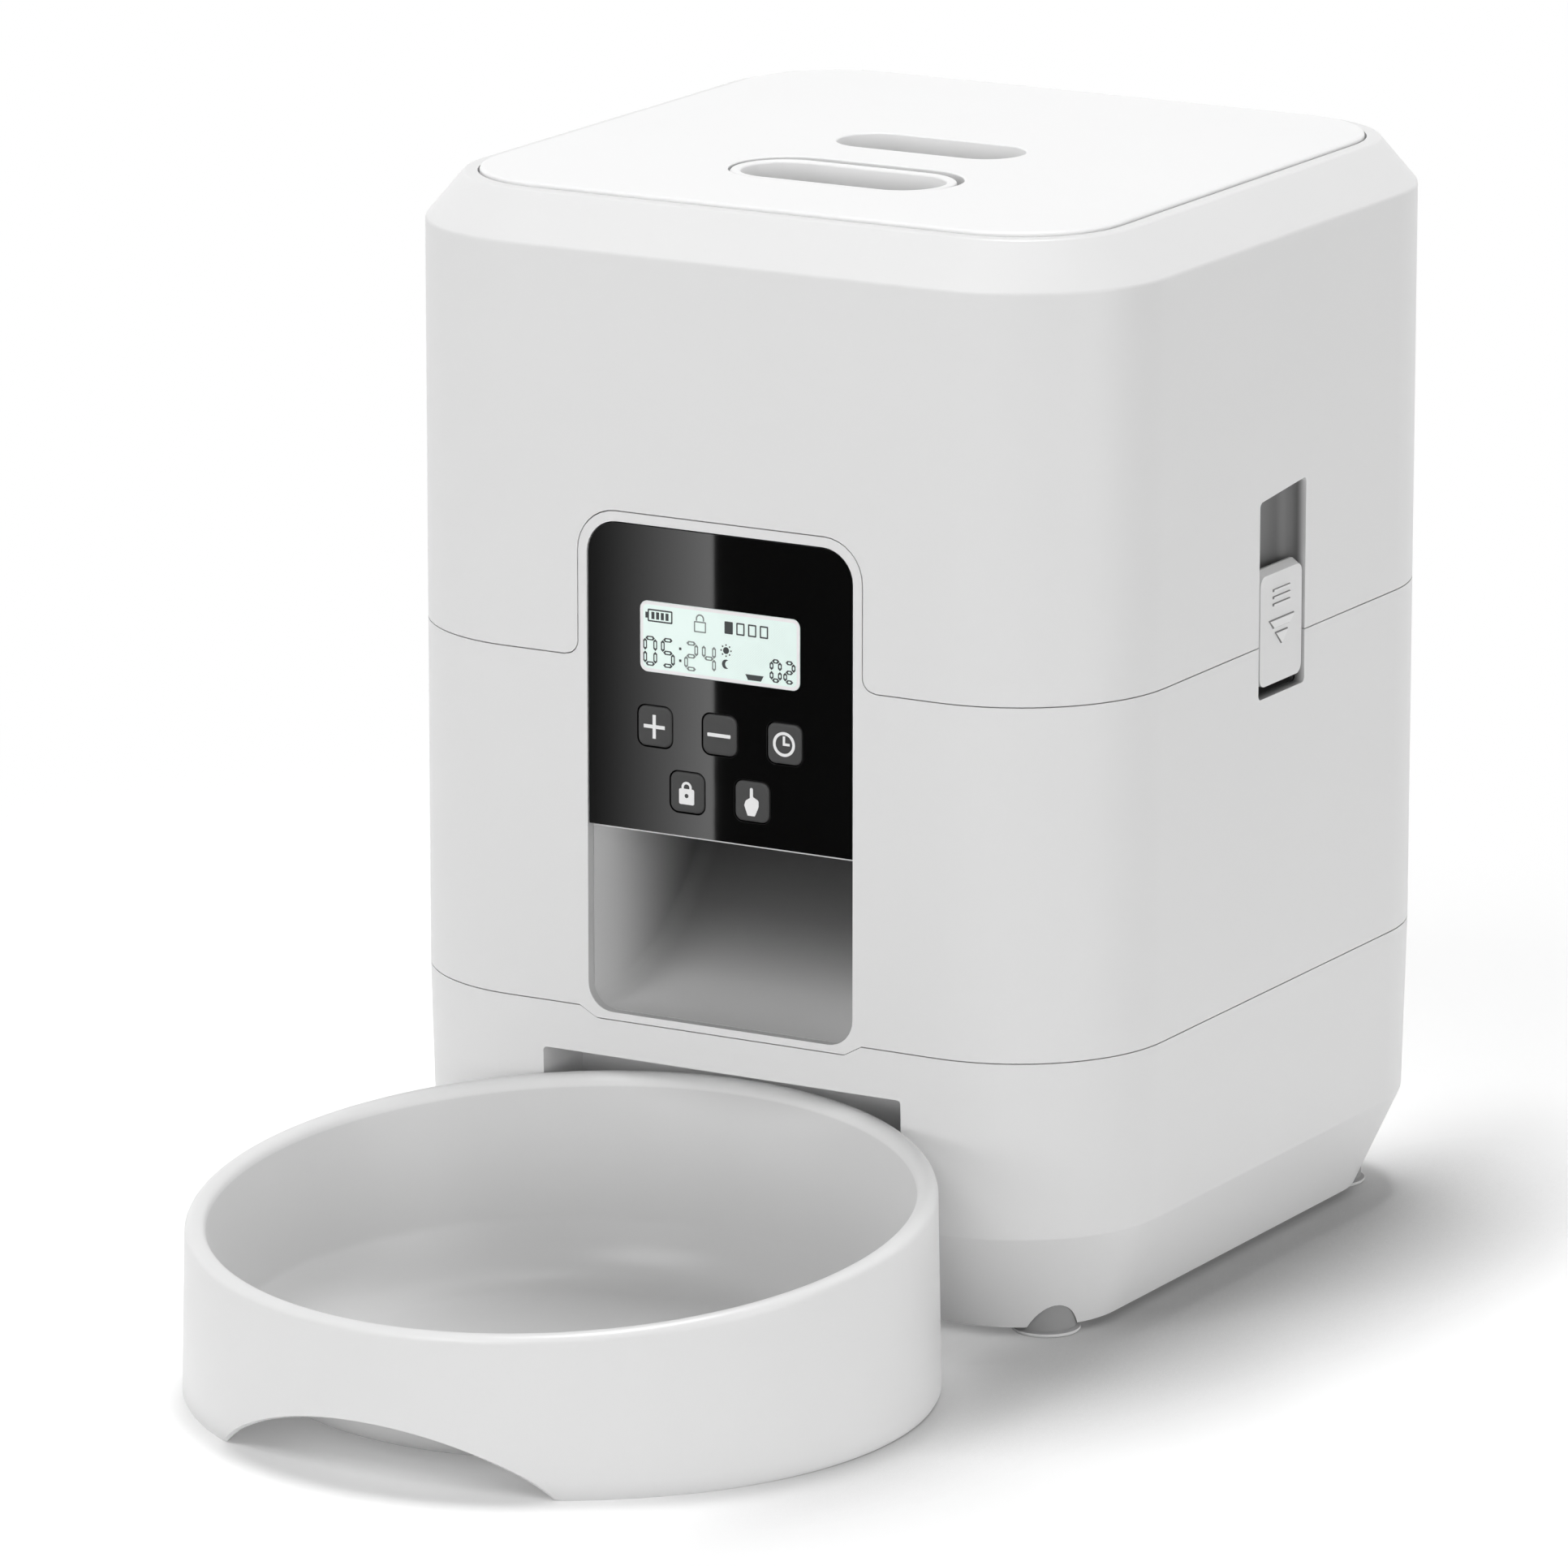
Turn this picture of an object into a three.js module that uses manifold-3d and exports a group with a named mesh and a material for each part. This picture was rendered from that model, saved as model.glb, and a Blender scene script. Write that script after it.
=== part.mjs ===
import * as THREE from 'three';
import * as BufferGeometryUtils from 'three/addons/utils/BufferGeometryUtils.js';
import Module from 'manifold-3d';

// Smart pet feeder, millimetres, +Z up, front towards -Y.
// All heights are above the floor. Depths are measured from the middle of the body.

// Shared values
const clearance = 0.3;
const overrun = 1;
const wall = 2.5;
const thinWall = 2;
const seamGap = 0.4;
const cornerSteps = 5;
const roundSteps = 24;
const curveSteps = 2;
const smallSteps = 10;
const rampSteps = 8;
const mergeDistance = 1e-4;

// Body
const bodyWidth = 190;
const bodyDepth = 192;
const cornerRadius = 38;
const lowerSeam = 68;
const housingHeight = 83.3;

// Base shell
const baseBottom = 2;
const baseTaperTop = 26;
const baseTaperTopInset = 1;
const baseBottomInset = 11.9;
const footSideInset = 22;
const footEndInset = 24;
const footRadius = 8;
const footHeight = 7;
const footPocketRim = 2;
const bayLintel = 11.4;
const baySideGap = 0.5;
const bayRearGap = 3.7;
const gussetClear = 9.8;
const gussetEndInset = 58;
const gussetWidth = 9;
const gussetDrop = 6;
const gussetSpan = 8;
const floorBossSideInset = 55;
const floorBossEndInset = 26;

// Seam dip below the chute
const dipDepth = 2.5;
const dipSlant = 4.5;

// Control tower and front opening of the housing
const towerRise = 35;
const towerBorder = 2.3;
const towerRadius = 10;
const towerDepth = 17.6;
const towerFootRadius = 3.5;
const openingHalfWidth = 35.2;
const openingSill = 0.6;
const openingTopRadius = 8;
const openingBottomRadius = 6.5;

// Housing deck, spigot and drive well
const deckDrop = 1.3;
const deckThickness = 2.5;
const deckLedge = 9;
const deckLedgeHeight = 3;
const spigotHeight = 4.5;
const spigotThickness = 2;
const deckShaftHoleRadius = 12;
const deckChuteHalfWidth = 30;
const housingBossRadius = 4.5;

// Front panel
const panelThickness = 2.1;
const panelHeight = 72.2;
const displayHalfWidth = 21.2;
const displayDrop = 17.4;
const displayHeight = 16.8;
const displayRadius = 2;
const displayModuleBorder = 2.5;
const displayModuleThickness = 2.4;

// Keys
const keyWidth = 9;
const keyHeight = 9.5;
const keyRadius = 2;
const keyProud = 0.35;
const keyFlange = 1;
const keyFlangeThickness = 1;
const keyTravel = 0.8;
const keyDrop = 12.7;
const keyRowPitch = 14.6;
const keyPitch = 17.2;

// Carrier, board and back cover behind the panel
const carrierThickness = 2;
const carrierRim = 1.5;
const carrierDepth = 13.4;
const boardHalfWidth = 31.5;
const boardMargin = 3.5;
const boardTopMargin = 4.7;
const boardThickness = 1.6;
const boardPostRadius = 2;
const boardPostInset = 3;
const boardSetback = 5.3;
const coverThickness = 1.5;

// Chute
const chuteRampRadius = 60;
const chuteRampAngle = 70;
const chuteInletBack = 22;
const chuteInletFront = 54;
const chuteRoofDepth = 21;
const chuteLipDepth = 9;
const chuteLipRise = 1.6;

// Drive
const gearboxHalfWidth = 22;
const gearboxBack = 33;
const gearboxFront = 16;
const gearboxHeight = 20;
const motorRadius = 15;
const motorHeight = 38;
const motorOffset = 14;
const shaftRadius = 4;
const shaftCollarRadius = 8.7;
const shaftCollarHeight = 2;
const dogWidth = 10;
const dogSides = 6;
const dogHeight = 14;

// Hopper
const binHeight = 30.3;
const chamferHeight = 10.7;
const chamferInset = 9;
const rimLand = 3.2;
const ledgeDrop = 2;
const ledgeWidth = 2.8;
const neckHeight = 16;
const neckThickness = 2.2;

// Funnel, rotor cup and metering shield
const funnelHeight = 40;
const funnelLap = 6;
const cupRadius = 52;
const cupRise = 2;
const cupHeight = 22.7;
const cupFloor = 2.2;
const cupHoleRadius = 12;
const dropHoleHalfWidth = 20;
const dropHoleFront = 48;
const dropHoleBack = 22;
const shieldThickness = 1.5;
const shieldDrop = 2;
const shieldHalfAngle = 55;
const shieldHubRadius = 17;

// Rotor
const rotorRadius = 50;
const rotorRise = 3.7;
const rotorHeight = 15;
const rotorHubRadius = 15;
const rotorConeHeight = 9;
const rotorVaneThickness = 2.4;
const rotorVanes = 6;

// Side locks
const lockPocketHalfWidth = 11.5;
const lockPocketDrop = 12.6;
const lockPocketRise = 34.5;
const lockPocketDepth = 6;
const lockSeat = 2.6;
const lockHeight = 27.5;
const lockTravel = 15.5;
const lockRadius = 1.5;
const lockTabWidth = 6;
const lockTabHeight = 6;
const lockTabRise = 5.7;
const lockTabHead = 2.5;
const lockTabHeadThickness = 1.6;
const lockSideGap = 1.1;

// Lid
const lidGap = 0.5;
const lidProud = 1;
const lidThickness = 2.7;
const lidEdge = 0.8;
const lidSkirtGap = 0.9;
const lidSkirtThickness = 2.5;
const lidSkirtDepth = 12;
const lidCollar = 2;
const lidCollarDepth = 9.6;
const rearPocketHalfWidth = 24;
const rearPocketHalfDepth = 9.5;
const rearPocketY = 2.6;
const rearPocketDepth = 9;

// Lid latch
const latchHalfWidth = 28.3;
const latchHalfDepth = 12.9;
const latchY = -39;
const latchTopDrop = 0.25;
const latchTravel = 2.6;
const latchSideGap = 0.9;
const latchFrontGap = 0.4;
const latchCupWall = 2.5;
const latchCupDepth = 9.4;
const latchFloor = 2;
const boltHalfWidth = 5;
const boltDrop = 9.8;
const boltThickness = 2.4;
const boltGap = 0.5;
const boltSetback = 2.7;
const latchCoverThickness = 2;

// Gasket
const gasketDrop = 5.2;
const gasketHeight = 2.4;
const gasketDepth = 1.3;

// Desiccant box
const desiccantEndInset = 50;
const desiccantRadius = 22;
const desiccantHeight = 14;
const desiccantRingDepth = 5;
const desiccantRing = 2;
const desiccantSlotWidth = 2.4;
const desiccantSlots = 4;
const desiccantSlotHeight = 5;
const desiccantSlotRise = 2;

// Battery compartment
const cellRadius = 16.6;
const cellLength = 61;
const cellButtonRadius = 4.5;
const cellButtonHeight = 1.5;
const cellCount = 3;
const cellGap = 0.8;
const batteryEndInset = 74;
const contactThickness = 1;
const contactSpace = 2.2;
const batteryWall = 1.8;
const batteryFlange = 3;
const doorThickness = 1.8;
const doorTabWidth = 16;
const doorTabDepth = 5;

// Floor plate
const floorThickness = 2.2;
const tongueHalfWidth = 18;
const tongueReach = 12;
const tongueDrop = 0.9;

// Power inlet
const inletZ = 32;
const inletSideInset = 43;
const inletRadius = 6;
const inletFlangeRadius = 8;
const inletFlange = 1.2;
const inletDepth = 14;
const inletHoleRadius = 3.25;
const inletPinRadius = 0.7;
const inletHoleDepth = 11;

// Screws
const screwRadius = 1.5;
const screwHeadRadius = 2.9;
const screwHeadHeight = 2;
const screwLength = 11;
const screwBossRadius = 4.5;

// Bowl
const bowlRimRadius = 85;
const bowlDraft = 0.9;
const bowlTuck = 14.3;
const bowlRimHeight = 44.3;
const bowlRimSlope = 0.095;
const bowlRimWidth = 4.8;
const bowlSkirt = 2.2;
const bowlFloorTop = 4.5;
const bowlFloorCurve = 11;
const bowlFloorThickness = 2.5;
const bowlWallFoot = 16;
const bowlWallLean = 12;
const bowlArchHalfChord = 43;
const bowlArchHeight = 17;
const bowlNotchHeight = 5;
const bowlNotchGap = 1;

// Colours and finishes
const white = { color: 0xdfdfdf, roughness: 0.42, metalness: 0 };
const innerWhite = { color: 0xd2d2d0, roughness: 0.5, metalness: 0 };
const glassBlack = { color: 0x0b0b0b, roughness: 0.08, metalness: 0 };
const matteBlack = { color: 0x1d1d1e, roughness: 0.6, metalness: 0 };
const keyBlack = { color: 0x2a2a2b, roughness: 0.45, metalness: 0 };
const displayMint = { color: 0xdff0e8, roughness: 0.25, metalness: 0 };
const boardGreen = { color: 0x1f6b3a, roughness: 0.55, metalness: 0 };
const rubberGrey = { color: 0x8b8b8a, roughness: 0.85, metalness: 0 };
const gasketWhite = { color: 0xe9e9e6, roughness: 0.7, metalness: 0 };
const steel = { color: 0xb5b6b8, roughness: 0.35, metalness: 1 };
const softGrey = { color: 0xc9c6bf, roughness: 0.65, metalness: 0 };
const cellCasing = { color: 0x3c4148, roughness: 0.4, metalness: 0.3 };

// Solid modelling helpers
const wasm = await Module();
wasm.setup();

// Turns a geometry into a solid: merges shared corners, drops flat faces and turns the faces outwards.
function solid(geometry) {
  const bare = new THREE.BufferGeometry();
  bare.setAttribute('position', geometry.getAttribute('position').clone());
  if (geometry.index) bare.setIndex(geometry.index.clone());
  const merged = BufferGeometryUtils.mergeVertices(bare, mergeDistance);
  const corners = merged.getAttribute('position').array;
  const index = merged.index.array;
  const kept = [];
  let volume = 0;
  const a = new THREE.Vector3();
  const b = new THREE.Vector3();
  const c = new THREE.Vector3();
  for (let i = 0; i < index.length; i += 3) {
    const [p, q, r] = [index[i], index[i + 1], index[i + 2]];
    if (p === q || q === r || r === p) continue;
    kept.push(p, q, r);
    a.fromArray(corners, p * 3);
    b.fromArray(corners, q * 3);
    c.fromArray(corners, r * 3);
    volume += a.dot(b.cross(c));
  }
  if (volume < 0) kept.reverse();
  return new wasm.Manifold(new wasm.Mesh({
    numProp: 3,
    vertProperties: new Float32Array(corners),
    triVerts: new Uint32Array(kept),
  }));
}

function boxSolid(x0, x1, y0, y1, z0, z1) {
  const box = new THREE.BoxGeometry(x1 - x0, y1 - y0, z1 - z0);
  box.translate((x0 + x1) / 2, (y0 + y1) / 2, (z0 + z1) / 2);
  return solid(box);
}

// Straight extrusions of an outline: up from the XY plane, back from the XZ plane, across from the YZ plane.
function extrudeUp(shape, z0, z1) {
  const body = new THREE.ExtrudeGeometry(shape,
    { depth: z1 - z0, bevelEnabled: false, curveSegments: curveSteps });
  body.translate(0, 0, z0);
  return solid(body);
}

function extrudeBack(shape, y0, y1) {
  const body = new THREE.ExtrudeGeometry(shape,
    { depth: y1 - y0, bevelEnabled: false, curveSegments: curveSteps });
  body.rotateX(Math.PI / 2);
  body.translate(0, y1, 0);
  return solid(body);
}

function extrudeAcross(shape, x0, x1) {
  const body = new THREE.ExtrudeGeometry(shape,
    { depth: x1 - x0, bevelEnabled: false, curveSegments: curveSteps });
  body.rotateX(Math.PI / 2);
  body.rotateZ(Math.PI / 2);
  body.translate(x0, 0, 0);
  return solid(body);
}

// A rectangle with its own radius at each corner, in the order right bottom, right top, left top and
// left bottom.
function roundedShape(x0, x1, y0, y1, radii) {
  const [rb, rt, lt, lb] = radii;
  const shape = new THREE.Shape();
  shape.moveTo(x0 + lb, y0);
  shape.lineTo(x1 - rb, y0);
  if (rb > 0) shape.absarc(x1 - rb, y0 + rb, rb, -Math.PI / 2, 0);
  shape.lineTo(x1, y1 - rt);
  if (rt > 0) shape.absarc(x1 - rt, y1 - rt, rt, 0, Math.PI / 2);
  shape.lineTo(x0 + lt, y1);
  if (lt > 0) shape.absarc(x0 + lt, y1 - lt, lt, Math.PI / 2, Math.PI);
  shape.lineTo(x0, y0 + lb);
  if (lb > 0) shape.absarc(x0 + lb, y0 + lb, lb, Math.PI, 1.5 * Math.PI);
  return shape;
}

function evenShape(x0, x1, y0, y1, radius) {
  return roundedShape(x0, x1, y0, y1, [radius, radius, radius, radius]);
}

function pillShape(halfWidth, halfDepth, y) {
  return evenShape(-halfWidth, halfWidth, y - halfDepth, y + halfDepth, halfDepth);
}

function outlineOf(points) {
  return new THREE.Shape(points.map(([x, y]) => new THREE.Vector2(x, y)));
}

// A cylinder that stands on z0 at x, y.
function post(radius, x, y, z0, z1, steps = roundSteps) {
  const body = new THREE.CylinderGeometry(radius, radius, z1 - z0, steps);
  body.rotateX(Math.PI / 2);
  body.translate(x, y, (z0 + z1) / 2);
  return solid(body);
}

// A cylinder that lies along Y at x, z.
function rod(radius, x, z, y0, y1, steps = roundSteps) {
  const body = new THREE.CylinderGeometry(radius, radius, y1 - y0, steps);
  body.translate(x, (y0 + y1) / 2, z);
  return solid(body);
}

// The stations round the body's outline: each corner is an arc of cornerSteps, the sides are straight.
function bodyStations() {
  const stations = [];
  const cornerX = bodyWidth / 2 - cornerRadius;
  const cornerY = bodyDepth / 2 - cornerRadius;
  const signs = [[1, -1], [1, 1], [-1, 1], [-1, -1]];
  signs.forEach(([sx, sy], corner) => {
    for (let step = 0; step <= cornerSteps; step += 1) {
      const angle = (corner - 1 + step / cornerSteps) * Math.PI / 2;
      const even = (corner - 1 + (step + 0.5) / (cornerSteps + 1)) * Math.PI / 2;
      stations.push({ x: sx * cornerX, y: sy * cornerY, angle, even });
    }
  });
  return stations;
}

// A ring or solid that follows the body's outline. A section {inset, z} lies inset inside the outline,
// a section {radius, z} is a circle, and a section {centre, z} is the middle point. A ring closes on its
// first section.
function outlineLoft(sections, closed) {
  const stations = bodyStations();
  const loop = closed ? [...sections, sections[0]] : sections;
  const profile = loop.map((section, row) => new THREE.Vector2(row, section.z));
  const lathe = new THREE.LatheGeometry(profile, stations.length);
  const position = lathe.getAttribute('position');
  for (let column = 0; column <= stations.length; column += 1) {
    const { x, y, angle, even } = stations[column % stations.length];
    loop.forEach((section, row) => {
      const reach = cornerRadius - section.inset;
      let px = x + reach * Math.cos(angle);
      let py = y + reach * Math.sin(angle);
      if (section.radius) {
        px = section.radius * Math.cos(even);
        py = section.radius * Math.sin(even);
      }
      if (section.centre) {
        px = 0;
        py = 0;
      }
      position.setXYZ(column * loop.length + row, px, py, section.z);
    });
  }
  return solid(lathe);
}

// A filled body slice between two heights, with an inset at each.
function bodySlice(insetBottom, z0, insetTop, z1) {
  return outlineLoft([
    { centre: true, z: z0 },
    { inset: insetBottom, z: z0 },
    { inset: insetTop, z: z1 },
    { centre: true, z: z1 },
  ], false);
}

function union(solids) {
  return solids.reduce((sum, next) => sum.add(next));
}

function cut(body, tools) {
  return tools.reduce((rest, tool) => rest.subtract(tool), body);
}

// The scene
const feeder = new THREE.Group();

function addPart(name, body, finish) {
  const { vertProperties, triVerts } = body.getMesh();
  const geometry = new THREE.BufferGeometry();
  geometry.setAttribute('position', new THREE.BufferAttribute(vertProperties, 3));
  geometry.setIndex(new THREE.BufferAttribute(triVerts, 1));
  geometry.computeVertexNormals();
  const mesh = new THREE.Mesh(geometry, new THREE.MeshStandardMaterial(finish));
  mesh.name = name;
  feeder.add(mesh);
}

// Places that several pieces share
const bodyFront = -bodyDepth / 2;
const bodySide = bodyWidth / 2;
const upperSeam = lowerSeam + housingHeight;
const housingBottom = lowerSeam + seamGap / 2;
const housingTop = upperSeam - seamGap / 2;
const baseTop = lowerSeam - seamGap / 2;
const hopperBottom = upperSeam + seamGap / 2;
const footX = bodySide - footSideInset;
const footY = bodyDepth / 2 - footEndInset;
const batteryY = bodyDepth / 2 - batteryEndInset;
const cellPitch = cellRadius * 2 + cellGap;
const batteryHalfWidth = cellPitch * cellCount / 2 + cellGap / 2;
const batteryHalfDepth = cellLength / 2 + cellButtonHeight / 2 + contactSpace + contactThickness + clearance;
const gussetX = batteryHalfWidth + batteryWall + batteryFlange + gussetSpan + gussetClear;
const gussetY = bodyDepth / 2 - gussetEndInset;
const gussetTop = lowerSeam - gussetDrop;
const floorBossX = bodySide - floorBossSideInset;
const floorBossY = bodyDepth / 2 - floorBossEndInset;
const bowlReach = bowlRimRadius - bowlTuck;
const bowlFootRadius = bowlRimRadius + bowlDraft;
const bowlWallFootRadius = bowlRimRadius - bowlWallLean;
const bowlFloorRadius = bowlWallFootRadius - bowlFloorCurve;
const bayHalfWidth = Math.sqrt(bowlRimRadius ** 2 - bowlReach ** 2) + baySideGap;
const bayDepth = bowlTuck + bayRearGap;
const bayHeight = lowerSeam - bayLintel;
const inletX = bodySide - inletSideInset;
const towerHalfWidth = openingHalfWidth + towerBorder;
const towerTop = upperSeam + towerRise;
const dipTopHalfWidth = towerHalfWidth;
const dipBottomHalfWidth = dipTopHalfWidth - dipSlant;
const chuteRoofBack = bodyDepth / 2 - chuteRoofDepth;
const desiccantY = bodyDepth / 2 - desiccantEndInset;
const openingTop = towerTop - towerBorder;
const openingBottom = lowerSeam - openingSill;
const panelBottom = openingTop - clearance - panelHeight;
const displayTop = openingTop - clearance - displayDrop;
const displayBottom = displayTop - displayHeight;
const keyUpperRow = displayBottom - keyDrop;
const keyLowerRow = keyUpperRow - keyRowPitch;
const boardBottom = panelBottom + boardMargin;
const boardTop = openingTop - clearance - boardTopMargin;
const deckTop = upperSeam - deckDrop;
const deckBottom = deckTop - deckThickness;
const cupBottom = upperSeam + cupRise;
const cupTop = cupBottom + cupHeight;
const shieldBottom = cupTop - shieldDrop;
const rotorBottom = cupBottom + rotorRise;
const rotorTop = rotorBottom + rotorHeight;
const funnelTop = cupTop + funnelHeight;
const chamferBottom = funnelTop + binHeight;
const rimTop = chamferBottom + chamferHeight;
const lidTop = rimTop + lidProud;
const lockPocketBottom = upperSeam - lockPocketDrop;
const lockPocketTop = upperSeam + lockPocketRise;
const lockBottom = lockPocketBottom + lockSeat;
const lockTabBottom = upperSeam + lockTabRise;
const wallInnerFront = bodyFront + wall;
const towerBack = bodyFront + towerDepth;
const panelFront = bodyFront + clearance;
const panelBack = panelFront + panelThickness;
const carrierFront = panelBack + clearance;
const carrierBack = carrierFront + carrierThickness;
const carrierRimBack = carrierFront + carrierDepth;
const boardFront = carrierFront + boardSetback;
const boardBack = boardFront + boardThickness;
const floorTop = baseBottom + floorThickness;
const taperSlope = (baseBottomInset - baseTaperTopInset) / (baseTaperTop - baseBottom);
const bowlY = bodyFront - bowlReach;
const sides = [1, -1];
const corners = [[-1, -1, 'front_left'], [1, -1, 'front_right'], [-1, 1, 'rear_left'], [1, 1, 'rear_right']];

// The outline of the tower, grown all round by a margin and carried down to a foot height.
function towerShape(margin, foot) {
  const half = towerHalfWidth + margin;
  const radius = towerRadius + margin;
  return roundedShape(-half, half, foot, towerTop + margin, [0, radius, radius, 0]);
}

// The fillets at the tower's foot, where the upper seam turns up into its sides.
function towerFoot(margin, seam) {
  const half = towerHalfWidth + margin;
  const curve = towerFootRadius - margin;
  const shape = new THREE.Shape();
  shape.moveTo(-half - curve, seam - wall);
  shape.lineTo(half + curve, seam - wall);
  shape.lineTo(half + curve, seam);
  shape.absarc(half + curve, seam + curve, curve, -Math.PI / 2, -Math.PI, true);
  shape.lineTo(-half, seam + curve);
  shape.absarc(-half - curve, seam + curve, curve, 0, -Math.PI / 2, true);
  return shape;
}

function openingShape(margin, bottom) {
  const half = openingHalfWidth - margin;
  const top = openingTopRadius - margin;
  const low = bottom > openingBottom + margin ? 0 : openingBottomRadius - margin;
  return roundedShape(-half, half, bottom, openingTop - margin, [low, top, top, low]);
}

function lockPocketShape(margin) {
  return evenShape(
    -lockPocketHalfWidth - margin, lockPocketHalfWidth + margin,
    lockPocketBottom - margin, lockPocketTop + margin, 0,
  );
}

// The trapezium that carries the lower seam down below the chute.
function dipShape(margin) {
  return outlineOf([
    [-dipTopHalfWidth - margin, lowerSeam + overrun],
    [-dipTopHalfWidth - margin, lowerSeam - margin],
    [-dipBottomHalfWidth - margin, lowerSeam - dipDepth - margin],
    [dipBottomHalfWidth + margin, lowerSeam - dipDepth - margin],
    [dipTopHalfWidth + margin, lowerSeam - margin],
    [dipTopHalfWidth + margin, lowerSeam + overrun],
  ]);
}

// Base shell
function footPosts(margin, z0, z1) {
  return corners.map(([sx, sy]) => post(footRadius + margin, sx * footX, sy * footY, z0, z1));
}

function footPockets() {
  return footPosts(clearance, baseBottom - overrun, footHeight + clearance);
}

function baseShell() {
  const outer = bodySlice(baseBottomInset, baseBottom, baseTaperTopInset, baseTaperTop)
    .add(bodySlice(baseTaperTopInset, baseTaperTop, 0, baseTop));
  const inner = bodySlice(
    baseBottomInset + wall, baseBottom - overrun, baseTaperTopInset + wall, baseTaperTop,
  )
    .add(bodySlice(baseTaperTopInset + wall, baseTaperTop - overrun, wall, baseTop + overrun));
  const bayBack = bodyFront + bayDepth;
  const bay = boxSolid(
    -bayHalfWidth, bayHalfWidth, bodyFront - overrun, bayBack, baseBottom - overrun, bayHeight,
  );
  const bayWalls = boxSolid(
    -bayHalfWidth - thinWall, bayHalfWidth + thinWall, bodyFront, bayBack + thinWall,
    floorTop + clearance, bayHeight + thinWall,
  );
  const footBosses = footPosts(
    clearance + footPocketRim, baseBottom, footHeight + clearance + footPocketRim,
  );
  const gussets = corners.map(([sx, sy]) => boxSolid(
    Math.min(sx * (gussetX - gussetSpan), sx * bodySide),
    Math.max(sx * (gussetX - gussetSpan), sx * bodySide),
    sy * gussetY - gussetWidth / 2, sy * gussetY + gussetWidth / 2,
    floorTop + clearance, gussetTop,
  ));
  const floorBosses = floorScrewPlaces().map(([x, y]) => post(
    screwBossRadius, x, y, floorTop + clearance, floorTop + clearance + screwLength + thinWall, smallSteps,
  ));
  const bossRibs = floorScrewPlaces().map(([x, y]) => boxSolid(
    x - thinWall / 2, x + thinWall / 2, Math.min(y, Math.sign(y) * bodyDepth / 2),
    Math.max(y, Math.sign(y) * bodyDepth / 2), floorTop + clearance, floorTop + clearance + screwLength,
  ));
  const inside = union([bayWalls, ...footBosses, ...gussets, ...floorBosses, ...bossRibs]).intersect(outer);
  const screwHoles = [
    ...housingScrewPlaces().map(([x, y]) => union([
      post(screwRadius + clearance, x, y, baseBottom, gussetTop + overrun, smallSteps),
      post(screwHeadRadius + clearance, x, y, baseBottom, housingScrewHeadTop() + clearance, smallSteps),
    ])),
    ...floorScrewPlaces().map(([x, y]) => post(
      screwRadius + clearance, x, y, baseBottom, floorTop + screwLength + clearance, smallSteps,
    )),
  ];
  const inletHole = rod(inletRadius + clearance, inletX, inletZ, bodyDepth / 2 - wall * 2,
    bodyDepth / 2 + overrun);
  const inletFace = rod(
    inletFlangeRadius + clearance, inletX, inletZ, bodyDepth / 2 - inletFlange - baseTaperTopInset,
    bodyDepth / 2 + overrun,
  );
  const dip = extrudeBack(dipShape(seamGap / 2), bodyFront - overrun, wallInnerFront + overrun);
  return cut(outer.subtract(inner).add(inside),
    [bay, ...footPockets(), ...screwHoles, inletHole, inletFace, dip]);
}

function housingScrewPlaces() {
  return corners.map(([sx, sy]) => [sx * gussetX, sy * gussetY]);
}

function floorScrewPlaces() {
  return corners.map(([sx, sy]) => [sx * floorBossX, sy * floorBossY]);
}

function housingScrewHeadTop() {
  return gussetTop - wall;
}

addPart('base_shell', baseShell(), white);

// Feet
corners.forEach(([sx, sy, place]) => {
  addPart(`foot_${place}`, post(footRadius, sx * footX, sy * footY, 0, footHeight), rubberGrey);
});

// Battery compartment, cells and contacts
const cellBottom = floorTop + clearance;
const cellMiddle = cellBottom + cellRadius;
const batteryTop = cellMiddle + cellRadius + cellGap;

function batteryOuter(margin, z0, z1) {
  const halfWidth = batteryHalfWidth + margin;
  const halfDepth = batteryHalfDepth + margin;
  return boxSolid(-halfWidth, halfWidth, batteryY - halfDepth, batteryY + halfDepth, z0, z1);
}

function batteryCompartment() {
  const shell = batteryOuter(batteryWall, floorTop + clearance, batteryTop + batteryWall);
  const flange = batteryOuter(
    batteryWall + batteryFlange, floorTop + clearance, floorTop + clearance + batteryWall,
  );
  return shell.add(flange).subtract(batteryOuter(0, floorTop, batteryTop));
}

function batteryCell(place) {
  const x = (place - (cellCount - 1) / 2) * cellPitch;
  const turned = place % 2 === 0 ? 1 : -1;
  const can = rod(cellRadius, x, cellMiddle, batteryY - cellLength / 2, batteryY + cellLength / 2);
  const buttonFrom = batteryY + turned * (cellLength / 2 - overrun);
  const buttonTo = batteryY + turned * (cellLength / 2 + cellButtonHeight);
  const button = rod(cellButtonRadius, x, cellMiddle, Math.min(buttonFrom, buttonTo),
    Math.max(buttonFrom, buttonTo));
  return can.add(button);
}

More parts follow.
